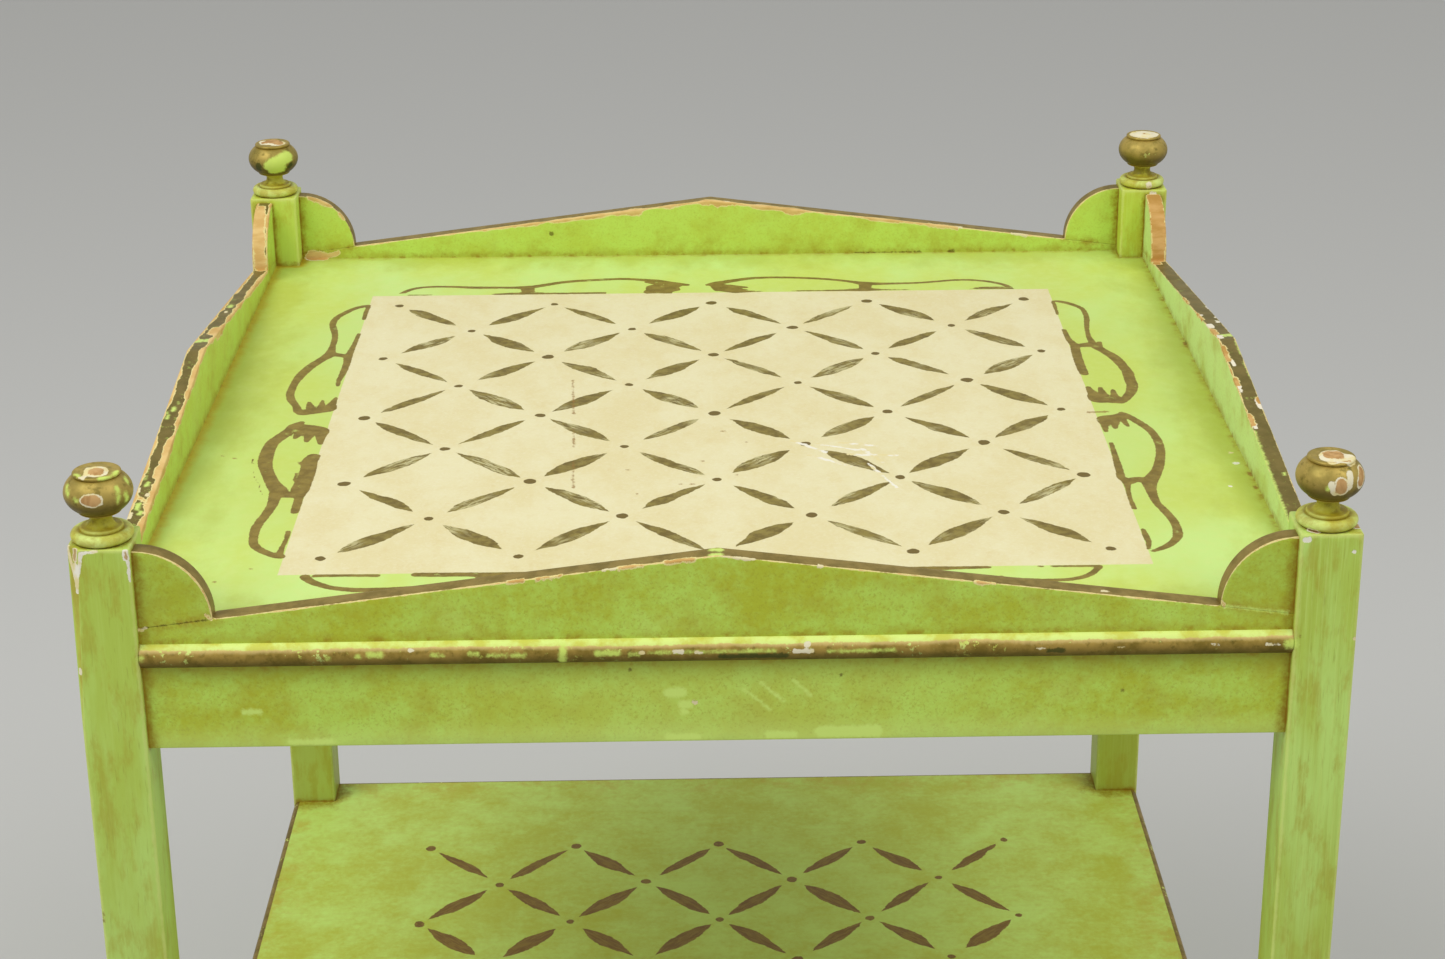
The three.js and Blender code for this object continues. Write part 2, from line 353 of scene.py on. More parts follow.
def top_mark(side, start, end, out, radius):
    """A mark on the sloping top of a gallery."""
    ends = [side_place(side, a, out, gable_height(a * MM) / MM) for a in (start, end)]
    return (*ends, radius)


def side_mark(side, start, end, out, height, radius):
    """A level mark on a side."""
    return (side_place(side, start, out, height), side_place(side, end, out, height), radius)


def tray_mark(x, y, end_x, end_y, radius):
    """A mark on the tray."""
    height = round(TRAY_TOP / MM)
    return ((x, y, height), (end_x, end_y, height), radius)


# On the sloping tops: from and to along the side, how far out, and the radius.
TOP_MARKS = {
    "wood": {
        "front": [
            (-99, -92.5, 300.3, 1.7), (-86, -75, 300.3, 1.6), (-46.6, -36, 300.3, 1.7),
            (-24, -11, 300.2, 1.9), (123, 131, 300.4, 1.3),
        ],
        "right": [
            (12, 25, 291.6, 2.2), (-28, -10, 291.4, 2.3), (-58, -50, 291.4, 2.0),
            (-105, -94, 291.6, 2.0), (-79, -74, 300, 2.0), (52, 70, 290.8, 1.6),
            (100, 118, 290.8, 1.5), (228, 240, 293, 3.2),
        ],
        "back": [
            (148, 166, 291, 2.2),
        ],
        "left": [
            (44, 58, 292, 4.6),
        ],
    },
    "gesso": {
        "front": [
            (-54, -48, 300.4, 0.9), (2, 17, 300.4, 0.8), (48, 49, 300.4, 1.3), (184, 185, 296.5, 1.2),
        ],
        "right": [
            (-84, -77, 300.5, 2.9), (30, 38, 292.4, 1.9), (2, 7, 292.6, 1.7), (84, 90, 300.2, 1.3),
            (44, 48, 298.6, 1.2), (57, 59, 299.6, 1.0), (-34, -29, 293.6, 1.2), (-66, -60, 292, 1.1),
            (-109, -105, 292.2, 1.3), (18, 20, 300.2, 1.1), (64, 66, 292.4, 1.0),
        ],
        "back": [
            (10, 12, 292, 1.6), (32, 34, 292, 1.6), (166, 169, 292, 1.5), (204, 214, 291, 1.4),
        ],
        "left": [
            (-116, -114, 291.6, 1.2), (-134, -131, 292.4, 1.2), (104, 108, 296, 1.4),
            (-163, -160, 299.5, 1.3), (-167, -166, 294, 1.2), (-190, -186, 299.4, 1.4),
        ],
    },
    "lime": {
        "front": [
            (-2.5, 0.5, 299, 2.2), (-2, 1, 293, 2.2),
        ],
        "right": [
            (7, 10, 299, 2.6), (6, 9, 295, 2.2), (-160, -158, 298, 1.0), (-268, -112, 290.6, 1.0),
            (-50, -30, 300.4, 0.8), (-20, -4, 300.2, 0.8),
        ],
        "left": [
            (22, 26, 298, 3.2), (23, 27, 293, 2.6), (-120, -117, 300, 1.0), (120, 126, 296, 1.8),
            (-74, -70, 296, 1.1), (-83, -79, 298, 1.0), (-77, -75, 299, 0.9), (-142, -139, 299, 1.3),
            (-150, -147, 298.4, 1.1), (-157, -154, 296, 1.4), (-181, -176, 297, 1.5),
            (-187, -184, 294.5, 1.2), (-66, -64, 294.6, 0.8),
        ],
    },
}
# On the faces: from and to along the side, how far out, the height, and the radius.
SIDE_MARKS = {
    "gesso": {
        "front": [
            (-37, -36, 304.8, 609.9, 1.0), (-21, -17.5, 304.8, 610.4, 1.2),
            (-10.8, -8, 304.8, 609.8, 0.9), (36, 44.5, 304.8, 609.7, 1.1), (42, 43, 304, 612.7, 1.4),
            (152, 156, 304.8, 609.4, 0.7), (191, 194, 304.8, 609.4, 0.6),
            (236, 239, 304.8, 610.3, 0.7), (262, 268, 304.6, 609.9, 0.8),
            (-146.5, -145.5, 304.3, 612.6, 0.9), (-12, -11, 300.5, 580.7, 1.1),
            (277.4, 278.8, 305, 664.2, 1.5), (300.4, 300.5, 305, 657.6, 1.2),
            (304, 304.2, 304.6, 612.2, 1.2),
        ],
    },
    "lime": {
        "front": [
            (-186, -185.5, 304.8, 609.2, 1.1), (-172, -171, 304.8, 610, 1.2),
            (-166, -160.5, 304.8, 610.8, 1.6), (-136, -131.5, 304.8, 610, 1.1),
            (-118, -114.5, 304.8, 610.3, 1.1), (-109.5, -101.5, 304.8, 609.6, 1.1),
            (-97.5, -92.5, 304.8, 609.5, 1.2), (-58, -48, 304.8, 610, 1.5),
            (-42, -38, 304.8, 609.2, 1.1), (-33, 27, 304.9, 610, 0.8), (52.6, 83.7, 304.9, 609.6, 0.8),
            (273, 275, 304, 610, 2.6), (-275, -273.8, 304, 610, 1.4), (-25, -10.5, 300.5, 562.6, 2.0),
            (24, 36, 300.5, 563.0, 2.2), (49, 76, 300.5, 564.2, 3.3), (-207, -187, 300.5, 562.6, 1.6),
            (-228, -220.5, 300.5, 579.2, 1.6), (-24, -18, 300.5, 586.5, 2.8),
            (-17.5, -15, 300.5, 580, 2.4), (-17.5, -16.5, 300.5, 575.9, 1.6),
        ],
    },
    "stain": {
        "front": [
            (1, 32, 304.8, 607.2, 1.9), (157.5, 164.5, 304.8, 608.2, 1.6),
            (-42.5, -42.4, 300.5, 598.7, 1.2), (58.7, 58.8, 300.5, 594.7, 1.2),
            (194.6, 194.7, 300.5, 584.3, 1.2), (278, 278.1, 305, 613.9, 1.1),
        ],
        "back": [
            (-107.5, -107, 290.5, 635.7, 1.6), (162, 164, 290.5, 620.5, 1.8),
            (98, 142, 290.3, 620.3, 0.8),
        ],
    },
}
# On the tray: x and y of one end, x and y of the other, and the radius.
TRAY_MARKS = {
    "gesso": [
        (285, -82, 285, -82.5, 1.5), (285, -97.7, 285, -98, 1.5), (276, -130.5, 276, -131, 1.4),
        (43, -56, 61, -74, 1.2), (52, -78, 74, -96, 1.1), (84, -92, 98, -129, 1.0),
        (70, -60, 90, -66, 1.2), (74, -78, 100, -80, 1.5), (82, -70, 92, -90, 1.2),
        (58, -62, 80, -72, 1.0),
    ],
    "stain": [
        (290, 97, 290, 101, 1.6), (289.5, -112, 289.5, -116, 1.5), (289, -131, 289, -134, 1.3),
        (214.7, -17, 226, -16.5, 1.6), (-249.4, -238.8, -249, -238.8, 1.2),
        (-233.9, -223.5, -233.5, -223.5, 1.2), (-83.2, 46, -80.5, -10, 0.8),
        (-79.5, -34, -78.4, -62, 0.8), (-77.6, -84, -76.3, -122, 0.8),
        (-19, -118.2, -18.5, -118.2, 1.1), (-12.8, -118.4, -12, -118.4, 1.1),
        (-48, -97, -47, -97, 1.2), (-42.4, -131.5, -41.9, -131, 1.1), (4.4, -40, 5.4, -40.5, 1.2),
        (-7.1, -85.3, -6.5, -85.5, 1.1), (17.6, -57.5, 18.2, -57.5, 1.1),
        (11.3, -106.3, 11.9, -106, 1.1), (-272.3, -69.2, -271.6, -69.8, 0.9),
        (-265.1, -73, -264, -73.4, 1.0), (-259.4, -71.4, -259, -71.6, 0.8),
        (-270.1, -62, -269.8, -62.4, 0.8),
    ],
}

# %% Marks anywhere, and how deep a place lies in them
# These have both ends in full, and the radius.
MARKS = {
    "wood": [
        ((-301, -303.4, 666), (-301.4, -303, 661.5), 2.0),
        ((-300, -168, 639), (-291.5, -177, 638), 2.4), ((-276.8, -305, 666), (-276.6, -305, 662), 1.5),
        ((281, -299, 666.5), (283, -301, 666.5), 2.2),
        ((303.4, -296, 666.5), (303.4, -293, 666.5), 2.2),
        ((-242.2, -300.3, 630.6), (-240.4, -300.3, 628.6), 1.1),
        ((-274.8, -300.5, 623.6), (-273.4, -300.5, 623), 1.0),
        ((240.2, -300.4, 630.6), (241.4, -300.4, 628.6), 1.0),
        ((-268, 291, 662.5), (-254, 291, 657.3), 2.3), ((-248, 291, 651.3), (-246, 291, 648.6), 2.1),
        ((295.5, 240.9, 637.7), (295.5, 246.0, 648.7), 5.4),
        ((295.5, 246.0, 648.7), (295.5, 257.2, 659), 5.4),
        ((295.5, 257.2, 659), (295.5, 270, 663.4), 5.4), ((295, 239.9, 629), (295.5, 240.9, 638), 4.6),
        ((-296.8, 268, 663.4), (-297, 262, 662), 3.2), ((-297, 262, 662), (-296, 246, 649), 4.3),
        ((-296, 246, 649), (-295.5, 241, 631), 4.6), ((-269, 290.5, 621.5), (-262, 290.5, 621), 4.4),
        ((-258, 290.5, 621.5), (-251, 290.5, 624), 1.6),
        ((292, 277.4, 669.4), (293, 277.5, 669.4), 2.4),
        ((-293, -305.7, 692), (-287, -305.7, 692), 2.5),
        ((-290.8, -305.9, 692), (-289.2, -305.9, 692), 3.8),
        ((-289.8, -293.1, 702), (-289, -293.1, 702), 4.2),
        ((-296.3, -299.2, 702), (-296.2, -299.2, 702), 1.6),
        ((292.1, -305.9, 692.3), (292.2, -306, 690.1), 3.7),
        ((303.4, -296.5, 695.4), (302.3, -300.5, 691.5), 3.4),
        ((289.6, -291.6, 702), (291.6, -291.6, 702), 4.9),
        ((287.6, -299.5, 702), (296.4, -297.6, 702), 1.9), ((290, 288, 702), (290, 288, 702), 2.2),
        ((-293, 291, 702), (-287, 289, 702), 5.4),
    ],
    "gesso": [
        ((-305, -299, 666.4), (-303.6, -300.6, 659), 1.4),
        ((-303.6, -300.6, 659), (-302.3, -302, 652.9), 1.2),
        ((-302.3, -302, 652.9), (-301, -303.6, 646.9), 1.0),
        ((-290, -305.2, 666.2), (-297, -305.2, 665.2), 0.9),
        ((-297.5, -305.2, 665), (-298.8, -305.2, 659), 1.1),
        ((-298.8, -305.2, 659), (-300.3, -304.2, 652), 1.1),
        ((-300.3, -304.2, 652), (-301, -303.6, 645), 1.0),
        ((-276, -305, 661), (-275.6, -305, 650), 0.8),
        ((-301.2, -303.4, 658), (-301.4, -303.2, 653), 2.0),
        ((-301, -303.6, 653), (-301.2, -303.4, 648), 1.3),
        ((-304.3, -304.3, 603), (-304.3, -304.3, 604), 1.8),
        ((-273, -300.5, 624.0), (-271, -300.5, 624.3), 0.4),
        ((287.3, -305.9, 692.4), (289, -305.8, 688.1), 1.7),
        ((296.2, -302.6, 696.5), (295.9, -305.1, 690.9), 1.9),
        ((289.6, -293, 702), (295, -294, 702), 6.2), ((303.6, -293.5, 698), (304.6, -297, 692), 1.2),
        ((-289.4, -293.1, 702), (-289, -293.1, 702), 5.2),
        ((-294.4, -300.1, 702), (-293.7, -290.6, 702), 1.7), ((290, 289, 702), (290, 289, 702), 9.6),
        ((-293, 291, 702), (-287, 289, 702), 6.0),
    ],
    "lime": [
        ((-278.9, -299.6, 695.7), (-278.4, -301.3, 689.9), 1.4),
        ((-275.7, -297.5, 691.8), (-275.3, -296.3, 688.8), 1.5),
        ((-302.8, -297.2, 695.6), (-301.9, -300.4, 693.4), 1.5),
        ((-297.8, -304.1, 691.6), (-297.3, -304.4, 691.5), 1.2),
        ((-276.5, -290.8, 697.2), (-275.7, -291.9, 696.1), 1.3),
        ((-279.7, -295.5, 702), (-280.5, -292, 702), 2.0),
        ((-281, -298.4, 701.6), (-286, -300.4, 701.4), 1.7),
        ((-296.5, -298, 701.6), (-298.6, -295, 701.6), 1.3),
        ((286, -305.7, 690.7), (286.2, -305.7, 690.5), 1.3),
        ((303.3, -299.3, 690.4), (303, -299.8, 689.5), 1.3),
        ((-290.2, 274, 689.4), (-278.6, 279.4, 694.5), 4.2),
        ((-287.7, 275, 686.6), (-284, 275.5, 687.5), 4.5),
        ((20.7, -300.5, 590.9), (30.8, -300.5, 581.1), 1.0),
        ((12, -300.5, 588), (24, -300.5, 577), 0.8), ((36, -300.5, 592), (44, -300.5, 584), 0.8),
        ((-74, -304.9, 614), (-74.2, -304.2, 606), 2.0),
        ((242, -300.5, 628.1), (272, -300.5, 624.5), 0.9),
    ],
    "stain": [
        ((-304.2, -305, 472), (-304.2, -305, 468), 0.9),
        ((-274, -300.5, 624.1), (-242, -300.5, 628.1), 0.7),
        ((296.4, -300.6, 698.2), (296.9, -300.4, 698.2), 1.2),
        ((-297.8, 275.9, 689.3), (-298.4, 277, 687), 2.6),
        ((-277.2, 280.4, 688.8), (-277.5, 280, 687.5), 2.2),
        ((-296, -285, 668), (-284, -285, 668), 1.0),
    ],
}
for kind, sides in TOP_MARKS.items():
    for side, marks in sides.items():
        MARKS[kind].extend(top_mark(side, *mark) for mark in marks)
for kind, sides in SIDE_MARKS.items():
    for side, marks in sides.items():
        MARKS[kind].extend(side_mark(side, *mark) for mark in marks)
for kind, marks in TRAY_MARKS.items():
    MARKS[kind].extend(tray_mark(*mark) for mark in marks)

# How far outside a mark its measure is worked out, in millimetres.
MARK_REACH = 6.0


def mark_depth(places, marks, outside=-MARK_REACH):
    """How deep each place lies inside the nearest mark. It is negative outside."""
    deepest = np.full(len(places), outside)
    low, high = places.min(0) - MARK_REACH, places.max(0) + MARK_REACH
    for start, end, radius in marks:
        start, end = np.array(start, float), np.array(end, float)
        if (np.maximum(start, end) < low).any() or (np.minimum(start, end) > high).any():
            continue
        along = end - start
        share = np.clip(((places - start) @ along) / max(along @ along, 1e-9), 0, 1)
        gap = np.linalg.norm(places - start - share[:, None] * along, axis=1)
        deepest = np.maximum(deepest, radius - gap)
    return deepest


print({kind: len(marks) for kind, marks in MARKS.items()})

# %% [markdown]
# ## Handing a piece over
# Each corner of a shape gets its measures, and the shape is turned to its side or corner. Near
# a mark the cells are cut smaller, so that small marks are not lost between them. Then the
# shape becomes an object at the origin that takes the place of its CAD solid, rides on the
# table's only body, and names its paint.

# %% Hand over
FINEST_CELL = 1.2
# A depth that no layer of paint answers to.
FAR_AWAY = -30.0
SHARP_ANGLE = math.radians(38)
made_pieces = []


def shape_places(shape):
    return np.array([vert.co for vert in shape.verts]) / MM


def put_measures(shape, measures):
    for name, values in measures.items():
        layer = shape.verts.layers.float.new(name)
        for vert, value in zip(shape.verts, values):
            vert[layer] = value


def refine_near_marks(shape, rounds=5):
    """Halves the long edges of the cells near any mark, round by round."""
    every = [mark for marks in MARKS.values() for mark in marks]
    for _ in range(rounds):
        shape.verts.index_update()
        depth = mark_depth(shape_places(shape), every, FAR_AWAY)
        chosen = set()
        for face in shape.faces:
            longest = max(edge.calc_length() for edge in face.edges) / MM
            if longest > FINEST_CELL and max(depth[vert.index] for vert in face.verts) > -longest:
                chosen.update(edge for edge in face.edges if edge.calc_length() / MM > FINEST_CELL)
        if not chosen:
            break
        bmesh.ops.subdivide_edges(shape, edges=list(chosen), cuts=1, use_grid_fill=True)


def settle(shape, piece, node, slot, turn=0):
    """Makes an object of a drawn shape, turned by quarter turns, in place of a CAD node."""
    made_shape = shape.copy()
    spin = Matrix.Rotation(turn * math.pi / 2, 3, "Z")
    bmesh.ops.rotate(made_shape, cent=(0, 0, 0), matrix=spin, verts=made_shape.verts)
    refine_near_marks(made_shape)
    for edge in made_shape.edges:
        edge.smooth = edge.calc_face_angle(0.0) < SHARP_ANGLE
    mesh = bpy.data.meshes.new(piece)
    made_shape.to_mesh(mesh)
    made_shape.free()
    places = mesh_places(mesh)
    for kind, marks in MARKS.items():
        write_measure(mesh, kind, mark_depth(places, marks))
    mesh.polygons.foreach_set("use_smooth", [True] * len(mesh.polygons))
    made = bpy.data.objects.new(piece, mesh)
    bpy.context.scene.collection.objects.link(made)
    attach(made, "root")
    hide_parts(node)
    made_pieces.append((made, slot))
    return made


def tidy_shape(shape):
    """Merges doubled corners and turns every face outwards."""
    bmesh.ops.remove_doubles(shape, verts=shape.verts, dist=1e-6)
    bmesh.ops.recalc_face_normals(shape, faces=shape.faces)


# %% [markdown]
# ## Posts
# Each post is one square length of wood. Its long edges are rounded a little by the plane and
# by years of hands, and its top is eased all round. A cube is scaled to the post, its edges are
# bevelled, and it is sliced into cells. The front left post has lost its outer corner near the
# top: a plane cuts a long facet there, and the facet gets finer cells of its own.

# %% The four posts
EDGE_ROUND = 1.5 * MM
TOP_ROUND = 0.8 * MM
FOOT_ROUND = 1.0 * MM
POST_CELL = 4 * MM
LOW_POST_CELL = 8 * MM
FINE_TOP = 60 * MM


def is_upright(a, b):
    return abs(a.z - b.z) > 0.1 and abs(a.x - b.x) < 1e-6 and abs(a.y - b.y) < 1e-6


def draw_post():
    shape = draw_block(post_low, post_high)
    ease_edges(shape, is_upright, EDGE_ROUND, 3)
    ease_edges(shape, lambda a, b: min(a.z, b.z) > POST_TOP - 1e-5, TOP_ROUND, 2)
    ease_edges(shape, lambda a, b: max(a.z, b.z) < 1e-5, FOOT_ROUND, 2)
    slice_at(shape, "x", steps_between(post_low.x, post_high.x, POST_CELL))
    slice_at(shape, "y", steps_between(post_low.y, post_high.y, POST_CELL))
    slice_at(shape, "z", steps_between(post_low.z, POST_TOP - FINE_TOP, LOW_POST_CELL))
    slice_at(shape, "z", steps_between(POST_TOP - FINE_TOP, POST_TOP, POST_CELL))
    tidy_shape(shape)
    return shape


def post_edge_measure(places):
    """Distance to the nearest long edge or top edge of the front left post."""
    across = np.abs(places[:, :2] + POST_MIDDLE / MM)
    half = (POST_OUTER - POST_INNER) / 2 / MM
    from_sides = half - across
    upright = np.hypot(from_sides[:, 0], from_sides[:, 1])
    from_top = POST_TOP / MM - places[:, 2]
    rim = np.hypot(from_top, from_sides.min(1))
    return np.minimum(upright, rim)


FACET_WIDTH = 6.5 * MM
FACET_FOOT = 551 * MM
FACET_CELL = 1 * MM
FACET_HALF = 5 * MM
FACET_FACING = 0.65
FACET_LEAN = 0.03


def bisect_facet(shape, point, normal):
    """Cuts the cells of the worn facet alone."""
    shape.normal_update()
    cells = [face for face in shape.faces if max(face.normal.x, face.normal.y) < -FACET_FACING]
    cells = [face for face in cells if face.normal.z > FACET_LEAN]
    parts = {part for face in cells for part in (*face.verts, *face.edges, face)}
    bmesh.ops.bisect_plane(shape, geom=list(parts), dist=1e-7, plane_co=point, plane_no=normal)


def wear_facet(shape):
    """Cuts the tapering facet that wear has left on the outer edge of the front left post."""
    tip = Vector((-POST_OUTER, -POST_OUTER, FACET_FOOT))
    first = Vector((FACET_WIDTH - POST_OUTER, -POST_OUTER, POST_TOP)) - tip
    second = Vector((-POST_OUTER, FACET_WIDTH - POST_OUTER, POST_TOP)) - tip
    parts = [*shape.verts, *shape.edges, *shape.faces]
    normal = second.cross(first)
    if normal.x > 0:
        normal = -normal
    bmesh.ops.bisect_plane(shape, geom=parts, dist=1e-7, plane_co=tip, plane_no=normal, clear_outer=True)
    rim = [edge for edge in shape.edges if edge.is_boundary]
    bmesh.ops.holes_fill(shape, edges=rim, sides=0)
    for place in steps_between(-FACET_HALF, FACET_HALF, FACET_CELL):
        bisect_facet(shape, tip + Vector((place, -place, 0)), (1, -1, 0))
    for place in steps_between(FACET_FOOT, POST_TOP, 2 * FACET_CELL):
        bisect_facet(shape, (0, 0, place), (0, 0, 1))
    tidy_shape(shape)


def measured_post(worn):
    shape = draw_post()
    if worn:
        wear_facet(shape)
    joint = joint_measure(shape, neighbour_tree("post_front_left"))
    measures = {"joint": joint, "corner": joint, "arris": post_edge_measure(shape_places(shape))}
    put_measures(shape, measures)
    return shape


plain_post = measured_post(False)
worn_post = measured_post(True)
for turn, corner in enumerate(CORNERS):
    shape = plain_post if turn else worn_post
    settle(shape, "painted_post_" + corner, "post_" + corner, "post_paint", turn)
print("posts with", len(plain_post.faces), "cells each")

# %% [markdown]
# ## Finials
# A finial is turned on a lathe from one piece: a round bead sits on the post, then come a
# ring, a hollow, a thin neck, a collar, a flattened ball and a small cap. Half its outline is
# drawn as arcs and spun a full turn about its axis, which is how a lathe makes it.

# %% The four finials
FINIAL_SIDES = 56
FINIAL_HEIGHT = 35.5
CAP_FLAT = 4.6
COLLAR_TOP = 14.6
BALL_MIDDLE = 24.2
# Each arc of the outline, from the post upwards, in millimetres: its middle, out from the axis
# and above the post, how wide and how high its oval is, its two angles, and its steps.
FINIAL_ARCS = [
    ((12.0, 2.8), 2.8, 2.8, -90, 118, 14),  # the round bead
    ((9.1, 5.9), 1.2, 1.2, -35, 100, 9),  # the ring
    ((8.9, 11.0), 3.6, 3.9, 270, 180, 7),  # the hollow up to the neck
    ((10.0, 11.0), 4.7, 3.2, 180, 92, 7),  # the neck out to the collar
    ((9.7, COLLAR_TOP), 0.5, 0.4, -60, 60, 3),  # the collar
    ((0, BALL_MIDDLE), 16.2, 11.7, -51, 46, 22),  # the ball
    ((10.2, 33.6), 1.2, 1.0, -60, 90, 6),  # the edge of the cap
    ((7.8, 35.4), 2.2, 1.1, 300, 215, 4),  # the groove in the cap
]


def draw_finial():
    """The front left finial, spun in millimetres at the origin, then scaled and put on its post."""
    shape = bmesh.new()
    foot = shape.verts.new((0, 0, 0))
    curves = [draw_arc(shape, *arc) for arc in FINIAL_ARCS]
    top = [shape.verts.new((out, 0, FINIAL_HEIGHT)) for out in (CAP_FLAT, 0)]
    line = [foot, *(vert for curve in curves for vert in curve), *top]
    known = {frozenset(edge.verts) for edge in shape.edges}
    for near, far in zip(line, line[1:]):
        if frozenset((near, far)) not in known:
            shape.edges.new((near, far))
    bmesh.ops.spin(
        shape,
        geom=[*shape.verts, *shape.edges],
        cent=(0, 0, 0),
        axis=(0, 0, 1),
        angle=2 * math.pi,
        steps=FINIAL_SIDES,
        use_merge=True,
        use_duplicate=False,
    )
    bmesh.ops.remove_doubles(shape, verts=shape.verts, dist=1e-4)
    bmesh.ops.scale(shape, vec=(MM, MM, MM), verts=shape.verts)
    bmesh.ops.translate(shape, vec=(-POST_MIDDLE, -POST_MIDDLE, POST_TOP), verts=shape.verts)
    bmesh.ops.recalc_face_normals(shape, faces=shape.faces)
    return shape


# How far out and how high the grooves are, where the hollows end, and how far out the ball reaches.
GROOVES = [(14.2, 0.2), (10.3, 5.2), (8.6, 7.2), (9.8, 14.5), (10.6, 32.7)]
CAP_FOOT = 31
BALL_REACH = 15
FAR_BELOW = 9


def finial_measures(shape):
    """Gilt is the height above the collar. Hollow is how far the outline is set back from the ball.
    Groove is the distance to the nearest groove of the turning, and under tells how far round its
    underside a place lies."""
    places = shape_places(shape) - (-POST_MIDDLE / MM, -POST_MIDDLE / MM, POST_TOP / MM)
    out = np.hypot(places[:, 0], places[:, 1])
    above = places[:, 2]
    gaps = [np.hypot(out - groove_out, above - groove_above) for groove_out, groove_above in GROOVES]
    return {
        **near_measures(shape, "finial_front_left"),
        "groove": np.min(gaps, axis=0),
        "under": np.where(above > COLLAR_TOP, BALL_MIDDLE - above, -FAR_BELOW),
        "gilt": above - COLLAR_TOP,
        "hollow": np.where(above < CAP_FOOT, BALL_REACH - out, 0),
    }


finial_shape = draw_finial()
put_measures(finial_shape, finial_measures(finial_shape))
for turn, corner in enumerate(CORNERS):
    settle(finial_shape, "turned_finial_" + corner, "finial_" + corner, "worn_gilding", turn)
print("finials with", len(finial_shape.faces), "faces each")

# %% [markdown]
# ## Galleries and ears
# A gallery is a thin board whose top rises in a straight line to a blunt peak in the middle.
# At each end, an ear of a quarter circle sits on it against the post. The boards are outlines
# extruded to 10 mm, with the corners along the gilded top softened.
#
# Their measure called brink tells how far a place is inside the gilded top, from its corners
# inwards, and is negative down the faces. Another, rub, says how wide the corner is worn there.

# %% Shapes of the galleries and ears
BOARD_CELL = 3 * MM
TOP_CELL = 2.5 * MM
SOFTENED = 0.7 * MM
PEAK_ROUND = 3 * MM


def draw_gallery():
    tip, bottom = gallery_high.x, gallery_low.z
    corners = [
        (-tip, bottom),
        (tip, bottom),
        (tip, GABLE_END),
        (POST_INNER, GABLE_END),
        (0, GABLE_PEAK),
        (-POST_INNER, GABLE_END),
        (-tip, GABLE_END),
    ]
    shape = bmesh.new()
    thickness = (0, GALLERY_INNER - BOARD_FACE, 0)
    thicken_outline(shape, [(x, -GALLERY_INNER, z) for x, z in corners], thickness)
    is_top = lambda a, b: min(a.z, b.z) > GABLE_END - 1e-5 and abs(a.y - b.y) < 1e-6
    ease_edges(shape, is_top, SOFTENED, 3)
    ridge = lambda a, b: abs(a.x) < 2e-3 and abs(b.x) < 2e-3 and abs(a.y - b.y) > 5e-3
    ease_edges(shape, ridge, PEAK_ROUND, 3)
    slice_at(shape, "x", steps_between(-tip, tip, BOARD_CELL))
    slice_at(shape, "z", steps_between(bottom, GABLE_PEAK, BOARD_CELL))
    slice_at(shape, "y", steps_between(-BOARD_FACE, -GALLERY_INNER, TOP_CELL))
    tidy_shape(shape)
    return shape


EAR_ROOT = BOARD_END
EAR_FOOT = -ear_high.x
EAR_RADIUS = EAR_ROOT - EAR_FOOT
EAR_SEAT = gable_height(EAR_FOOT)


def draw_ear():
    """The left ear of the front. Its curve is swept from its foot up to the post."""
    shape = bmesh.new()
    curve = draw_arc(shape, (-EAR_ROOT, EAR_SEAT), EAR_RADIUS, EAR_RADIUS, 0, 90, 20)
    root = shape.verts.new((-EAR_ROOT, 0, gable_height(EAR_ROOT)))
    shape.edges.new((curve[-1], root))
    shape.edges.new((root, curve[0]))
    face = bmesh.ops.contextual_create(shape, geom=shape.edges)["faces"][0]
    bmesh.ops.translate(shape, vec=(0, -GALLERY_INNER, 0), verts=shape.verts)
    raise_face(shape, face, (0, GALLERY_INNER - BOARD_FACE, 0))
    on_curve = lambda p: abs(math.hypot(p.x + EAR_ROOT, p.z - EAR_SEAT) - EAR_RADIUS) < 1e-5
    curved = lambda a, b: on_curve(a) and on_curve(b) and abs(a.y - b.y) < 1e-6 and a.z + b.z > 0
    ease_edges(shape, lambda a, b: curved(a, b) and (a - b).length < 0.02, SOFTENED, 3)
    slice_at(shape, "x", steps_between(-EAR_ROOT, -EAR_FOOT, BOARD_CELL))
    slice_at(shape, "z", steps_between(EAR_SEAT - 5 * MM, EAR_SEAT + EAR_RADIUS, BOARD_CELL))
    slice_at(shape, "y", steps_between(-BOARD_FACE, -GALLERY_INNER, TOP_CELL))
    tidy_shape(shape)
    return shape


gallery_shape = draw_gallery()
ear_shape = draw_ear()
print("gallery", len(gallery_shape.faces), "cells, ear", len(ear_shape.faces))

# %% Wear along the tops
# For each side and each corner of its top: places along the side, and how wide it is worn there.
RUBS = {
    "front": {"outer": ([-275, 275], [0.55, 0.55]), "inner": ([-275, 275], [0.2, 0.2])},
    "right": {
        "outer": ([-275, 275], [0.55, 0.55]),
        "inner": ([-275, -124, -110, 40, 60, 275], [0.1, 0.1, 0.7, 0.7, 0.4, 0.4]),
    },
    "back": {
        "outer": ([-275, 275], [0.5, 0.5]),
        "inner": (
            [-275, -150, -70, -60, -48, -42, -14, 0, 14, 46, 52, 58, 66, 130, 275],
            [0.3, 1.2, 2.0, 3.6, 3.6, 2.4, 3.0, 4.6, 3.0, 2.2, 3.4, 3.4, 2.0, 1.4, 0.3],
        ),
    },
    "left": {
        "outer": ([-275, 0, 275], [1.3, 1.7, 1.8]),
        "inner": ([-275, -160, -100, 0, 275], [3.9, 3.4, 2.4, 2.0, 1.7]),
    },
}
# A side is turned after it is drawn, and on two sides its places then run the other way.
WAYS = {"front": 1, "right": 1, "back": -1, "left": -1}


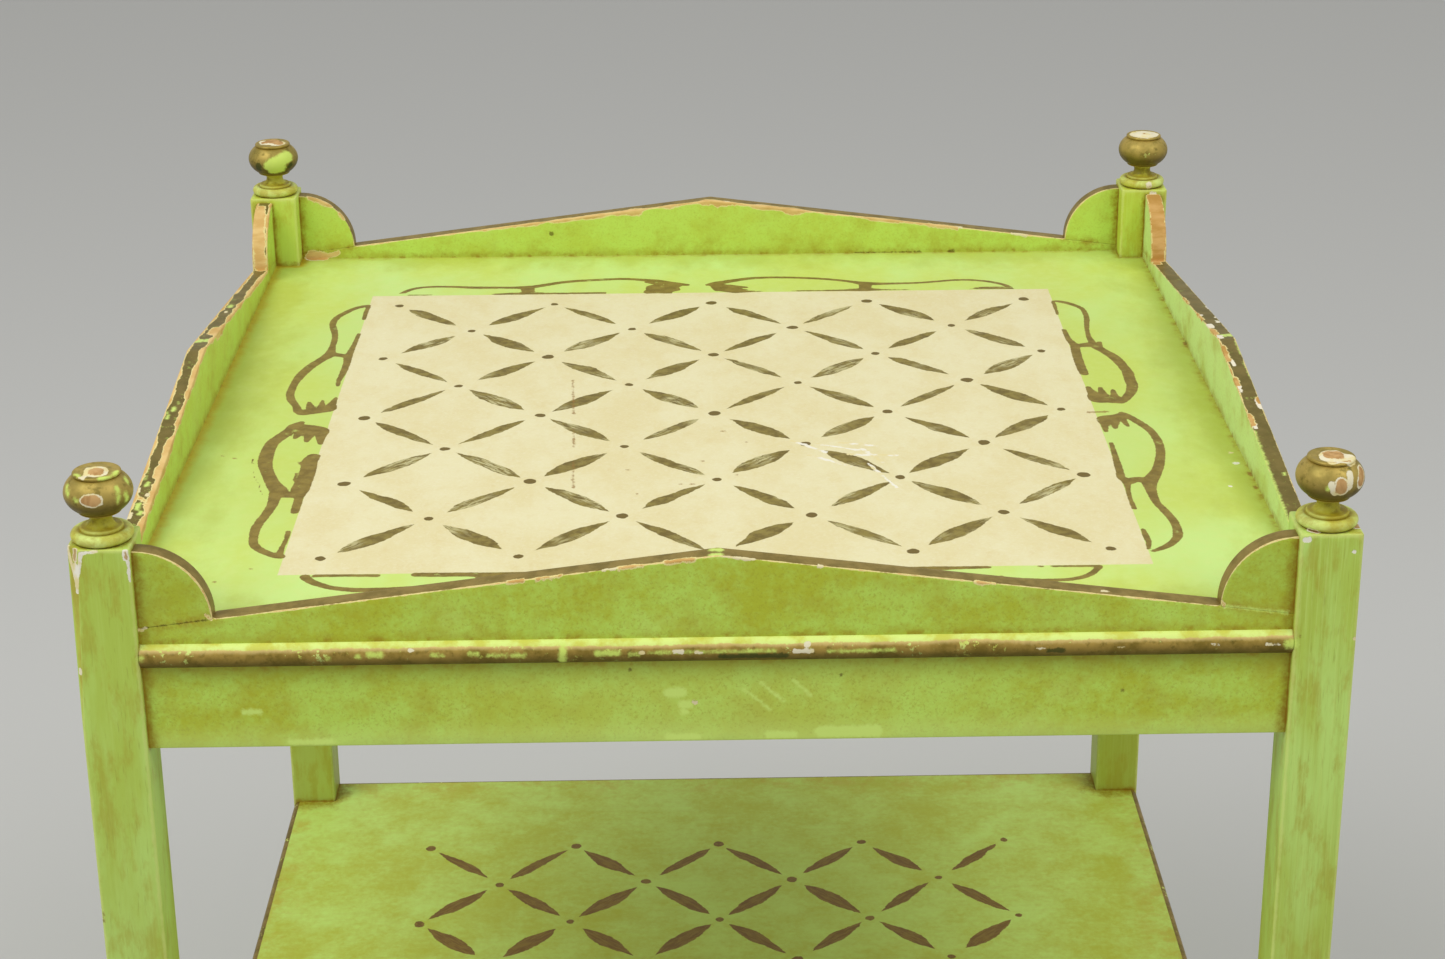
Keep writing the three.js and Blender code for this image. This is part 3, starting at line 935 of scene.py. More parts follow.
def side_depth(places):
    """Distance in from the nearest face of the front boards, and whether that is the outer one."""
    from_outer = np.abs(places[:, 1] + BOARD_FACE / MM)
    from_inner = np.abs(places[:, 1] + GALLERY_INNER / MM)
    return np.minimum(from_outer, from_inner), from_outer <= from_inner


def gallery_brink(places):
    below = (gable_height(places[:, 0] * MM) / MM - places[:, 2]) * math.cos(GABLE_SLOPE)
    under_ear = np.maximum(np.abs(places[:, 0]) - EAR_FOOT / MM, 0)
    return side_depth(places)[0] - np.maximum(below, 0) - 2 * under_ear


def ear_brink(places):
    out = np.hypot(places[:, 0] + EAR_ROOT / MM, places[:, 2] - EAR_SEAT / MM)
    return side_depth(places)[0] - np.maximum(EAR_RADIUS / MM - out, 0)


def rub_measure(places, side):
    """How wide the nearest corner of the top is worn. Places are those before the side is turned."""
    along = places[:, 0] * WAYS[side]
    outer = np.interp(along, *RUBS[side]["outer"])
    inner = np.interp(along, *RUBS[side]["inner"])
    return np.where(side_depth(places)[1], outer, inner)


near_gallery = near_measures(gallery_shape, "gallery_front")
for side, turn in TURNS.items():
    shape = gallery_shape.copy()
    places = shape_places(shape)
    measures = {**near_gallery, "brink": gallery_brink(places), "rub": rub_measure(places, side)}
    put_measures(shape, measures)
    settle(shape, "gabled_gallery_" + side, "gallery_" + side, "board_paint", turn)

near_ear = near_measures(ear_shape, "ear_front_left")
EARS = {
    "front": ("left", "right"),
    "right": ("front", "back"),
    "back": ("right", "left"),
    "left": ("back", "front"),
}
for side, turn in TURNS.items():
    for end, mirror in zip(EARS[side], (1, -1)):
        shape = ear_shape.copy()
        places = shape_places(shape)
        rub = rub_measure(places * (mirror, 1, 1), side)
        measures = {**near_ear, "brink": ear_brink(places), "rub": rub}
        put_measures(shape, measures)
        bmesh.ops.scale(shape, vec=(mirror, 1, 1), verts=shape.verts)
        bmesh.ops.recalc_face_normals(shape, faces=shape.faces)
        name = f"ear_{side}_{end}"
        settle(shape, "round_" + name, name, "board_paint", turn)
print("galleries and ears placed")

# %% [markdown]
# ## Beads
# A half-round bead runs along each side below the gallery, and another closes the edge of the
# shelf. Half an oval is swept, filled and extruded from post to post.
#
# The gilding of the tray's bead starts a little below its top, where a line of lime stays. The
# shelf's bead is gilded all over, so there it starts above the top.

# %% The beads of the tray and the shelf
BEAD_CELL = 2.5 * MM
GILT_BELOW_TOP = {"tray_bead": 2.0, "shelf_bead": -3.0}
SHADE_BELOW_TOP = 5.5
NO_GROOVE = 9.0


def draw_bead(low, high):
    middle = (low.z + high.z) / 2
    shape = bmesh.new()
    half = (high.z - low.z) / 2
    curve = draw_arc(shape, (0, 0), -BOARD_FACE - low.y, half, 90, 270, 18)
    shape.edges.new((curve[-1], curve[0]))
    face = bmesh.ops.contextual_create(shape, geom=shape.edges)["faces"][0]
    quarter = Matrix.Rotation(math.pi / 2, 3, "Z")
    bmesh.ops.rotate(shape, cent=(0, 0, 0), matrix=quarter, verts=shape.verts)
    bmesh.ops.translate(shape, vec=(-BOARD_END, -BOARD_FACE, middle), verts=shape.verts)
    raise_face(shape, face, (2 * BOARD_END, 0, 0))
    slice_at(shape, "x", steps_between(-BOARD_END, BOARD_END, BEAD_CELL))
    tidy_shape(shape)
    return shape


BEADS = {"tray_bead": (tray_bead_low, tray_bead_high), "shelf_bead": (shelf_bead_low, shelf_bead_high)}
for kind, (low, high) in BEADS.items():
    bead_shape = draw_bead(low, high)
    below_top = high.z / MM - shape_places(bead_shape)[:, 2]
    measures = {
        **near_measures(bead_shape, kind + "_front"),
        "gilt": below_top - GILT_BELOW_TOP[kind],
        "hollow": np.zeros(len(below_top)),
        "groove": np.full(len(below_top), NO_GROOVE),
        "under": below_top - SHADE_BELOW_TOP,
    }
    put_measures(bead_shape, measures)
    for side, turn in TURNS.items():
        settle(bead_shape, f"half_round_{kind}_{side}", f"{kind}_{side}", "worn_gilding", turn)
    print(kind, len(bead_shape.faces), "faces")

# %% [markdown]
# ## Aprons and rails
# Under the tray, a deep apron joins each pair of posts. A slimmer rail carries the shelf. They
# are plain boards with softened lower corners, so a block is scaled, bevelled and sliced.

# %% The aprons and the rails
PLAIN_CELL = 6 * MM
LOWER_ROUND = 1.0 * MM


def draw_board(low, high):
    shape = draw_block((-BOARD_END, low.y, low.z), (BOARD_END, high.y, high.z))
    is_lower = lambda a, b: max(a.z, b.z) < low.z + 1e-6 and abs(a.y - b.y) < 1e-6
    ease_edges(shape, is_lower, LOWER_ROUND, 3)
    slice_at(shape, "x", steps_between(-BOARD_END, BOARD_END, PLAIN_CELL))
    slice_at(shape, "z", steps_between(low.z, high.z, PLAIN_CELL))
    tidy_shape(shape)
    return shape


for kind, low, high in (("apron", apron_low, apron_high), ("rail", rail_low, rail_high)):
    board_shape = draw_board(low, high)
    measures = {
        **near_measures(board_shape, kind + "_front"),
        "brink": np.full(len(board_shape.verts), FAR_AWAY),
        "rub": np.zeros(len(board_shape.verts)),
    }
    put_measures(board_shape, measures)
    for side, turn in TURNS.items():
        settle(board_shape, f"plain_{kind}_{side}", f"{kind}_{side}", "board_paint", turn)
    print(kind, len(board_shape.faces), "cells")

# %% [markdown]
# ## Tray and shelf
# Both panels are squares with their corners notched round the posts. The tray carries most of
# the painting: a cream square with a lattice of leaves and dots, and scrolls round it.
#
# The lattice repeats evenly, so the material can work it out. The scrolls were drawn freehand,
# so each is a set of brush strokes here: a line of places, each with the width of the brush.
# The tray is cut into fine cells only where the scrolls are, and every corner there learns
# its distance from the nearest stroke.

# %% Shapes of the panels
SCROLL_FROM, SCROLL_TO = 214.0, 256.0
WIDE_CELL = 14.0
FINE_CUTS = 8
SHELF_CELL = 12 * MM


def draw_panel(low, high, half, cells):
    corner = [(BOARD_END, -half), (BOARD_END, -BOARD_END), (half, -BOARD_END)]
    outline = []
    for turn in range(4):
        outline.extend(corner)
        corner = [(-y, x) for x, y in corner]
    shape = bmesh.new()
    thicken_outline(shape, [(x, y, low.z) for x, y in outline], (0, 0, high.z - low.z))
    for axis in "xy":
        slice_at(shape, axis, cells)
    tidy_shape(shape)
    return shape


def refine_ring(shape, top):
    """Cuts the cells of the tray's top in the ring of the scrolls into finer ones."""
    edges = set()
    for face in shape.faces:
        place = face.calc_center_median() / MM
        reach = max(abs(place.x), abs(place.y))
        if abs(place.z - top / MM) < 0.01 and SCROLL_FROM < reach < SCROLL_TO:
            edges.update(face.edges)
    bmesh.ops.subdivide_edges(shape, edges=list(edges), cuts=FINE_CUTS, use_grid_fill=True)


inside_steps = [WIDE_CELL * k for k in range(-15, 16)]
ring_steps = [SCROLL_FROM + WIDE_CELL * k for k in range(4)]
outer_steps = [*ring_steps, 262.0, 268.0, 274.0, 280.0, 285.0, 288.0]
tray_cells = sorted({*inside_steps, *outer_steps, *(-step for step in outer_steps)})
tray_shape = draw_panel(tray_low, tray_high, GALLERY_INNER, [place * MM for place in tray_cells])
refine_ring(tray_shape, tray_high.z)
shelf_cells = steps_between(shelf_low.x, shelf_high.x, SHELF_CELL)
shelf_shape = draw_panel(shelf_low, shelf_high, BOARD_FACE, shelf_cells)
print("tray", len(tray_shape.faces), "cells, shelf", len(shelf_shape.faces))

# %% [markdown]
# The strokes are written along one half side of the square: how far along from its middle,
# how far out from its edge, and the width of the stroke there. A half of a side is named by
# the side and the way that it runs.

# %% Brush strokes of the scrolls
SQUARE_HALF = 218.9
SQUARE_MIDDLE = (-0.2, -12.7)
SQUARE_BACK_EXTRA = 2.5
ALONG_REACH = (-12, 215)
OUT_REACH = (-9, 45)

SCROLLS = {
    ("left", 1): [
        [(10, 17, 8), (13, 20.5, 6), (20, 22.5, 4.5), (30, 26.5, 5), (40, 28.7, 5), (50, 29, 5),
         (60, 28.5, 5), (70, 27.3, 6), (80, 25.2, 6.5), (90, 22.2, 6.5), (100, 18, 6.5), (108, 14.5, 7.5),
         (116, 14, 5.5), (125, 14.2, 4), (135, 14.3, 4), (145, 15.2, 4), (155, 17, 4.5), (165, 19, 4.3),
         (173, 19, 4.5), (181, 17.3, 4.5), (190, 13, 4.5), (197, 8.5, 4.5), (201, 3.5, 4.5), (202, 0.8, 4)],
        [(110, 13, 7), (108, 8, 6), (106, 3.5, 6)],
        [(54, 2.5, 2.5), (62, 3, 3), (75, 2.2, 4.2), (90, 1.8, 4.6), (104, 2.3, 5.2), (112, 2, 4.5),
         (125, 1.3, 3.3), (147, 0.6, 2.6)],
        [(175, 0.6, 2.5), (188, 0.8, 3), (200, 0.4, 3)],
        [(10, 17, 9), (12, 10, 8), (15, 3, 8), (20, 2.5, 7)],
        [(13, 13, 6), (20, 14.5, 5), (27, 16, 2)],
        [(14, 8, 6), (22, 8, 4), (30, 8.5, 1.5)],
        [(20, 2.5, 6), (34, 1.2, 2)],
    ],
    ("left", -1): [
        [(6, 16, 4), (12, 19, 8), (18, 20.5, 8), (28, 24.5, 8), (38, 28, 8), (50, 28.8, 8),
         (60, 28.5, 8.5), (70, 27.5, 8), (80, 25, 7.5), (90, 22, 7.5), (100, 18.5, 8.5), (108, 15, 10),
         (118, 15.5, 7), (128, 15.5, 6), (140, 16.8, 5.5), (150, 18.5, 5.5), (160, 19.5, 5.5), (170, 19, 5),
         (178, 18, 5), (184, 15.5, 5), (190, 10.5, 5), (195, 4.5, 5), (196, 1.5, 5)],
        [(113, 14, 9), (114, 8, 8), (115, 3, 7)],
        [(59, 2.5, 8), (66, 3.5, 9), (80, 2.8, 9), (95, 3.0, 9.5), (108, 3.5, 10), (116, 2.7, 5.5),
         (128, 2.4, 5), (138, 2.3, 4.5)],
        [(164, 2, 3), (175, 1.8, 2.5), (185, 2.5, 3), (193, 2.5, 4)],
        [(13, 17, 9), (17, 10, 13), (20, 4, 11), (28, 2, 6)],
        [(20, 14.5, 8), (31, 16.5, 2.5)],
        [(22, 9, 8), (36, 9.3, 3)],
        [(24, 3, 7), (40, 1, 3)],
        [(62, 35.5, 1.4), (69, 34.5, 1.2)],
        [(77, 33, 0.5), (88, 30.8, 0.6), (97, 27.5, 0.6)],
        [(98, 26.5, 0.5), (106, 25.2, 0.8), (113, 22.8, 0.8)],
        [(66, 9.8, 1.3), (70, 9.2, 1.2)],
        [(83, 9.1, 0.9), (94, 8.8, 1.0)],
    ],
    ("right", 1): [
        [(12, 17, 6), (18, 21, 6), (28, 25.5, 6.5), (40, 28, 7), (50, 28, 7), (62, 28.5, 7),
         (72, 27.3, 6.5), (82, 25.8, 7), (92, 23, 7), (100, 19.5, 6), (107, 16.5, 7), (112, 15, 6),
         (118, 14.5, 4.5), (126, 14, 3.5), (138, 14.5, 3), (150, 15.8, 3.3), (160, 17.2, 3.6),
         (170, 17.7, 3.5), (180, 17, 3.5), (187, 13.5, 4), (193, 8, 4.5), (196, 3, 3.5), (196, 0.8, 3)],
        [(106, 17.5, 5), (116, 19.3, 3)],
        [(112, 14, 9), (111, 9, 7), (110, 4, 6)],
        [(60, 2.3, 5.5), (70, 2, 6), (85, 2, 6), (100, 2.5, 6), (112, 3, 5.5), (122, 1, 4), (140, 0.3, 3)],
        [(170, 0, 2), (185, 0.2, 2.5), (195, 0.2, 2.5)],
        [(14, 17, 9), (15, 10, 9), (16, 4, 9), (22, 3, 8)],
        [(18, 14.5, 6), (32, 15.5, 2.5)],
        [(20, 8.5, 7), (36, 8.5, 2.5)],
        [(22, 3, 7), (37, 1.5, 3)],
    ],
    ("right", -1): [
        [(6, 15, 3.5), (9, 16.5, 5), (15, 19.5, 5.5), (25, 24, 5.5), (35, 27.2, 5), (45, 28.5, 5),
         (55, 28.7, 5), (65, 28, 5.3), (75, 26.3, 5.5), (85, 24.2, 6), (95, 21.2, 6.5), (103, 18, 8),
         (110, 15, 9), (120, 14, 6.5), (130, 13.8, 5.3), (140, 14.2, 4.5), (150, 16.5, 4.8),
         (160, 18.5, 4.8), (170, 19.3, 4.8), (179, 18.8, 5.5), (187, 17, 5), (195, 12, 4.5),
         (200, 6.5, 4), (203, 2.5, 2.5)],
        [(108, 13, 8), (107, 8, 7), (110, 4, 7)],
        [(53, 2.3, 2.6), (65, 2, 3.2), (80, 1.5, 4), (95, 1, 4.5), (103, 0.6, 5), (110, 2.5, 5),
         (120, 1.8, 3), (132, 1, 2.6), (147, 1.2, 3)],
        [(175, 1.5, 2.5), (185, 1.8, 3.5), (192, 1.8, 3), (200, 0.5, 2)],
        [(8, 15, 5), (13, 10, 8), (15, 4, 9), (20, 3, 7)],
        [(14, 13.5, 5), (27, 15.5, 2.5)],
        [(17, 9, 7), (30, 8, 3)],
        [(18, 3, 6), (35, 2, 2.6)],
    ],
    ("back", 1): [
        [(-2, 16, 4), (3, 19, 6.5), (8, 21, 6.5), (15, 24.5, 6), (25, 28.5, 5), (35, 30, 4.2), (48, 30, 4),
         (60, 28.5, 4), (72, 26.5, 4), (82, 23.5, 4), (92, 19.5, 4.5), (100, 15.5, 7), (112, 14.5, 5),
         (122, 14.7, 4), (135, 15.5, 3.6), (148, 18, 3.5), (158, 20.3, 3.5), (168, 20.6, 3.5),
         (178, 18.3, 3.5), (187, 13.5, 3.8), (192, 8.5, 3.8), (195, 4, 3), (195.5, 1.5, 2.5)],
        [(101, 13, 9), (100.5, 8, 8), (100, 3, 8)],
        [(45, 2.5, 3.5), (60, 2.5, 3.5), (85, 2.5, 4), (98, 3, 5), (110, 3, 4), (138, 2.5, 3)],
        [(166, 2.5, 2.5), (180, 3.5, 5), (195, 3, 4)],
        [(2, 15, 6), (6, 12, 12), (8, 6, 12), (14, 5, 12), (20, 3, 7)],
        [(12, 12, 8), (23, 10, 3)],
        [(16, 5, 8), (28, 2, 3)],
    ],
    ("back", -1): [
        [(16, 16.5, 4.5), (27, 20.5, 6.5), (35, 24.5, 7), (45, 28, 5), (58, 30.5, 4.5), (70, 29.5, 4.5),
         (80, 28.3, 4.5), (90, 26.7, 5), (100, 23.5, 5), (108, 19.5, 5.5), (116, 15.8, 6), (122, 14.5, 6.5),
         (130, 14.5, 4.5), (142, 15, 4.5), (155, 15.5, 5), (165, 17.2, 4), (175, 18.2, 3.8),
         (185, 17.8, 3.8), (193, 14.8, 4), (198, 9.5, 4), (201, 3.5, 3.5), (201.5, 1.2, 3)],
        [(119.5, 12.5, 9), (119, 7.5, 8.5), (118, 3, 8)],
        [(67, 2.2, 4), (80, 2.2, 4), (100, 2.3, 4), (120, 2.8, 5), (135, 1.9, 3.4), (148, 1.8, 3)],
        [(173, 2, 2.4), (190, 2, 2.4), (201, 1.8, 2.6)],
        [(22, 15, 6), (27, 13, 12), (27, 6, 13), (36, 12, 12), (36, 6, 13), (40, 3, 8)],
        [(34, 20, 7), (41, 23, 5)],
        [(38, 3, 5), (46, 1.5, 2.5)],
    ],
    ("front", 1): [
        [(8, 16, 5), (14, 20, 6), (25, 24.5, 6), (38, 28, 6), (52, 28.8, 6), (66, 28, 6), (80, 25.5, 6),
         (92, 21.5, 6.5), (102, 17, 7), (110, 14.5, 8), (120, 14, 6), (132, 14.5, 4.5), (145, 16, 4.2),
         (160, 18, 4), (172, 17.7, 3.6), (180, 15.5, 3.8), (186, 11, 3.8), (190, 5, 3.8), (191.5, 1.8, 3.6)],
        [(109, 13, 8), (108, 8, 7), (107, 4, 6)],
        [(56, 2.5, 4), (70, 2.5, 5), (90, 2.2, 5), (108, 2, 5), (122, 1.6, 3.6), (136, 1.3, 3)],
        [(161.5, 1.0, 2.2), (163, 1.0, 2)],
        [(140.6, 13, 2.2), (142, 13, 2)],
        [(168, 1.2, 2.2), (190, 1.5, 2.5)],
        [(12, 16, 8), (14, 9, 9), (17, 4, 9)],
        [(16, 13.5, 6), (29, 15.5, 2.5)],
        [(18, 8.5, 7), (33, 8.5, 2.5)],
        [(20, 3, 6), (36, 1.6, 2.5)],
    ],
    ("front", -1): [
        [(8, 16, 5), (14, 20, 6.5), (25, 24.5, 6.5), (38, 28, 6.5), (52, 28.8, 7), (66, 28, 7),
         (80, 25.5, 6.5), (92, 21.5, 6.5), (102, 17.5, 7), (112, 15, 8), (124, 15, 6), (138, 16, 5),
         (152, 17.7, 4.5), (165, 18.8, 4.5), (178, 19, 5), (190, 16, 4.5), (198, 11, 5), (203, 6, 5),
         (205, 2.4, 5.5)],
        [(113, 13, 8), (116, 8, 7), (117, 4, 6)],
        [(58, 2.5, 4), (75, 2.5, 5), (95, 2.2, 5), (112, 3, 6), (125, 2, 5), (138, 2, 5.2), (150, 1.5, 5)],
        [(169, 2, 3.5), (185, 1.4, 3), (200, 1.4, 3.5)],
        [(12, 16, 8), (14, 9, 9), (17, 4, 9)],
        [(16, 13.5, 6), (29, 15.5, 2.5)],
        [(18, 8.5, 7), (33, 8.5, 2.5)],
        [(20, 3, 6), (36, 1.6, 2.5)],
    ],
}


def smooth_stroke(points, pieces=4):
    """Adds places between those given, on a smooth curve through all of them."""
    points = np.array(points, float)
    if len(points) < 3:
        return points
    padded = np.vstack([2 * points[0] - points[1], points, 2 * points[-1] - points[-2]])
    shares = np.arange(pieces)[:, None] / pieces
    runs = []
    for before, near, far, after in zip(padded, padded[1:], padded[2:], padded[3:]):
        slope = (far - before) * shares
        bend = (2 * before - 5 * near + 4 * far - after) * shares**2
        twist = (3 * near - before - 3 * far + after) * shares**3
        runs.append((2 * near + slope + bend + twist) / 2)
    return np.vstack([*runs, points[-1:]])


def along_side(places, side, way):
    """Distances along a half side from the square's middle, and out from its edge."""
    x, y = places[:, 0] - SQUARE_MIDDLE[0], places[:, 1] - SQUARE_MIDDLE[1]
    along = {"left": y, "right": y, "back": x, "front": x}[side] * way
    out = {"left": -x, "right": x, "back": y - SQUARE_BACK_EXTRA, "front": -y}[side] - SQUARE_HALF
    return along, out


def scroll_measure(places, far=9.0):
    """Distance from the edge of the nearest brush stroke. It is negative inside one."""
    nearest = np.full(len(places), far)
    for (side, way), strokes in SCROLLS.items():
        along, out = along_side(places, side, way)
        near = (along > ALONG_REACH[0]) & (along < ALONG_REACH[1])
        close = np.flatnonzero(near & (out > OUT_REACH[0]) & (out < OUT_REACH[1]))
        here = np.stack([along[close], out[close]], 1)
        for stroke in strokes:
            line = smooth_stroke(stroke)
            for start, end in zip(line, line[1:]):
                run = end[:2] - start[:2]
                share = np.clip((here - start[:2]) @ run / max(run @ run, 1e-9), 0, 1)
                radius = (start[2] + (end[2] - start[2]) * share) / 2
                gap = np.linalg.norm(here - start[:2] - share[:, None] * run, axis=1) - radius
                nearest[close] = np.minimum(nearest[close], gap)
    return nearest


tray_measures = {
    **near_measures(tray_shape, "tray_panel"),
    "scroll": scroll_measure(shape_places(tray_shape)),
}
put_measures(tray_shape, tray_measures)
settle(tray_shape, "painted_tray", "tray_panel", "tray_paint")
put_measures(shelf_shape, near_measures(shelf_shape, "shelf_panel", ("shelf_bead", "rail")))
settle(shelf_shape, "painted_shelf", "shelf_panel", "shelf_paint")
print("tray and shelf placed,", int((tray_measures["scroll"] < 0).sum()), "corners under the brush")

# %% [markdown]
# ## Mixing the finishes
# Old paint is a stack of thin layers: wood, white gesso, lime paint, a thin amber glaze, and
# bronze on top in places. Each material here is built in that order. A recipe collects the
# nodes, and its small methods are the words to write a finish with. Everything is placed by
# Object coordinates, which are metres in the table's frame, or by the measures on the mesh.

# %% The recipe
PAINT_RELIEF = 0.15 * MM
finishes = {}


class Recipe:
    """One material in the making."""

    def __init__(self, name):
        self.material = bpy.data.materials.new(name)
        self.material.use_nodes = True
        self.tree = self.material.node_tree
        self.shader = self.tree.nodes["Principled BSDF"]
        self.place = self.add("ShaderNodeTexCoord").outputs["Object"]

    def add(self, kind, feeds=(), **settings):
        """Adds a node, with its settings, and with numbers or links for its inputs by name or number."""
        node = self.tree.nodes.new(kind)
        for name, value in settings.items():
            setattr(node, name, value)
        for key, value in dict(feeds).items():
            self.feed(node.inputs[key], value)
        return node

    def feed(self, socket, value):
        if isinstance(value, bpy.types.NodeSocket):
            self.tree.links.new(value, socket)
        else:
            socket.default_value = value

    def axes(self, place=None):
        """A place as its x, y and z. Without one, it is the place in the table's frame."""
        whole = self.place if place is None else place
        return self.add("ShaderNodeSeparateXYZ", {0: whole}).outputs

    def sum(self, kind, a, b=0.0, clamp=False):
        """A Math node, such as DIVIDE, SQRT or PINGPONG."""
        return self.add("ShaderNodeMath", {0: a, 1: b}, operation=kind, use_clamp=clamp).outputs[0]

    def chain(self, kind, first, *others):
        """Joins values from left to right with Math nodes of one kind."""
        for other in others:
            first = self.sum(kind, first, other)
        return first

    def plus(self, *parts):
        return self.chain("ADD", *parts)

    def minus(self, a, b):
        return self.sum("SUBTRACT", a, b)

    def times(self, *parts):
        return self.chain("MULTIPLY", *parts)

    def most(self, *parts):
        return self.chain("MAXIMUM", *parts)

    def least(self, *parts):
        return self.chain("MINIMUM", *parts)

    def unsigned(self, value):
        return self.sum("ABSOLUTE", value)

    def rest(self, share):
        """What a share leaves of one, and never less than none."""
        return self.sum("SUBTRACT", 1.0, share, True)

    def rise(self, value, low, high, bottom=0.0, top=1.0):
        """Goes smoothly from bottom to top while value goes from low to high."""
        feeds = {"Value": value, "From Min": low, "From Max": high, "To Min": bottom, "To Max": top}
        node = self.add("ShaderNodeMapRange", feeds, interpolation_type="SMOOTHSTEP")
        return node.outputs["Result"]

    def measure(self, name):
        return self.add("ShaderNodeAttribute", attribute_name=name).outputs["Fac"]

    def cloud(self, size, detail=4.0, rough=0.55, stretch=(1, 1, 1), shift=(0, 0, 0), warp=0.0):
        """Soft noise with features of about one size in millimetres, longer where stretched."""
        scale = [1 / s for s in stretch]
        mapping = self.add("ShaderNodeMapping", {"Vector": self.place, "Location": shift, "Scale": scale})
        feeds = {
            "Vector": mapping.outputs["Vector"],
            "Scale": 1 / MM / size,
            "Detail": detail,
            "Roughness": rough,
            "Distortion": warp,
        }
        return self.add("ShaderNodeTexNoise", feeds).outputs["Fac"]

    def blend(self, share, under, over):
        """Lays one colour over another by a share."""
        node = self.add("ShaderNodeMix", data_type="RGBA")
        for socket, value in ((0, share), (6, under), (7, over)):
            self.feed(node.inputs[socket], value)
        return node.outputs[2]

    def finish(self, colour, rough, height, metal=None, shine=0.28):
        """Feeds the shader. The height is in millimetres. Old paint and wax mirror little light."""
        self.feed(self.shader.inputs["Base Color"], colour)
        self.feed(self.shader.inputs["Specular IOR Level"], shine)
        self.feed(self.shader.inputs["Roughness"], rough)
        if metal is not None:
            self.feed(self.shader.inputs["Metallic"], metal)
        bump = self.add("ShaderNodeBump", {"Strength": 1.0, "Distance": PAINT_RELIEF, "Height": height})
        self.feed(self.shader.inputs["Normal"], bump.outputs["Normal"])
        return self.material


def keep_finish(slot, material):
    finishes[slot] = material
    print(slot, "has", len(material.node_tree.nodes), "nodes")


# %% [markdown]
# The layers that several finishes share are functions of a recipe: bare wood, the wear that
# opens the paint down to gesso and wood, and the amber that gathers in joints.
#
# Noise has its middle at a half and strays about a fifth to each side of it, so the reach of a
# ragged edge is multiplied by five.

# %% Shared layers
NOISE_SPREAD = 5.0
WOOD_PALE = picked(226, 182, 108)
WOOD_DARK = picked(206, 156, 84)
GESSO_WHITE = picked(242, 238, 220)
GESSO_YELLOW = picked(228, 212, 142)
GESSO_AT_EDGE = picked(232, 216, 146)
OLIVE = picked(170, 164, 44)
AMBER = picked(154, 132, 18)
AMBER_SPOT = picked(156, 122, 18)
AMBER_LINE = picked(146, 108, 14)
RUST = picked(144, 100, 16)
LIME_BRIGHT = picked(210, 234, 112)
# A pale lime: fine streaks on the posts, and painted light low on the aprons.
PALE_LIME_STREAK_AND_LIGHT = picked(208, 234, 126)


def wood_colour(mix, stretch, pale=WOOD_PALE, dark=WOOD_DARK):
    grain = mix.cloud(4, detail=5, stretch=stretch)
    return mix.blend(mix.rise(grain, 0.36, 0.64), dark, pale)


def frayed(mix, size, reach, shift=(0, 0, 0)):
    """Ragged noise about zero, to add to a measure so that its edges wander by a reach in mm."""
    ragged = mix.cloud(size, detail=6, rough=0.7, shift=shift)
    return mix.times(mix.minus(ragged, 0.5), reach * NOISE_SPREAD)


def worn_layers(mix, painted, wood, edge=None, chalk=GESSO_WHITE, ragged=1.0):
    """Opens the paint at the marks and along a worn edge, with a rim of gesso round bare wood.
    Along an edge the gesso is yellowed, but for the marks. Gives the colour and how open it is."""
    small = frayed(mix, 2.6, 0.6 * ragged)
    large = frayed(mix, 6, 0.9 * ragged, shift=(3, 0, 8))
    fray = mix.plus(small, large)
    bare = mix.plus(mix.measure("wood"), fray)
    chipped = mix.plus(mix.measure("gesso"), fray)
    chalky = mix.most(bare, chipped)
    if edge is None:
        rim = 0.55
        aged = mix.rise(mix.cloud(9, shift=(2, 9, 4)), 0.46, 0.62, 0, 0.8)
        gesso = mix.blend(aged, chalk, GESSO_YELLOW)
    else:
        rim = 0.5
        chalky = mix.most(chalky, edge)
        bare = mix.most(bare, mix.plus(edge, 0.15))
        gesso = mix.blend(mix.rise(chipped, -0.5, 0.3), GESSO_AT_EDGE, chalk)
    opened = mix.rise(chalky, -0.15, 0.25)
    colour = mix.blend(opened, painted, gesso)
    ring = frayed(mix, 4, 0.45, shift=(7, 3, 2))
    return mix.blend(mix.rise(mix.plus(bare, ring), rim, rim + 0.55), colour, wood), opened


def touched_up(mix, colour, fresh, dark):
    """Lays the lime touch-ups and the dark stains over a colour."""
    fray = mix.plus(frayed(mix, 2.2, 0.8, shift=(5, 5, 5)), frayed(mix, 7, 0.5, shift=(3, 5, 8)))
    lime = mix.rise(mix.plus(mix.measure("lime"), fray), -0.9, 1.3)
    colour = mix.blend(mix.times(lime, 0.9), colour, fresh)
    stain = mix.rise(mix.plus(mix.measure("stain"), fray), -0.2, 0.9)
    return mix.blend(mix.times(stain, 0.75), colour, dark), lime


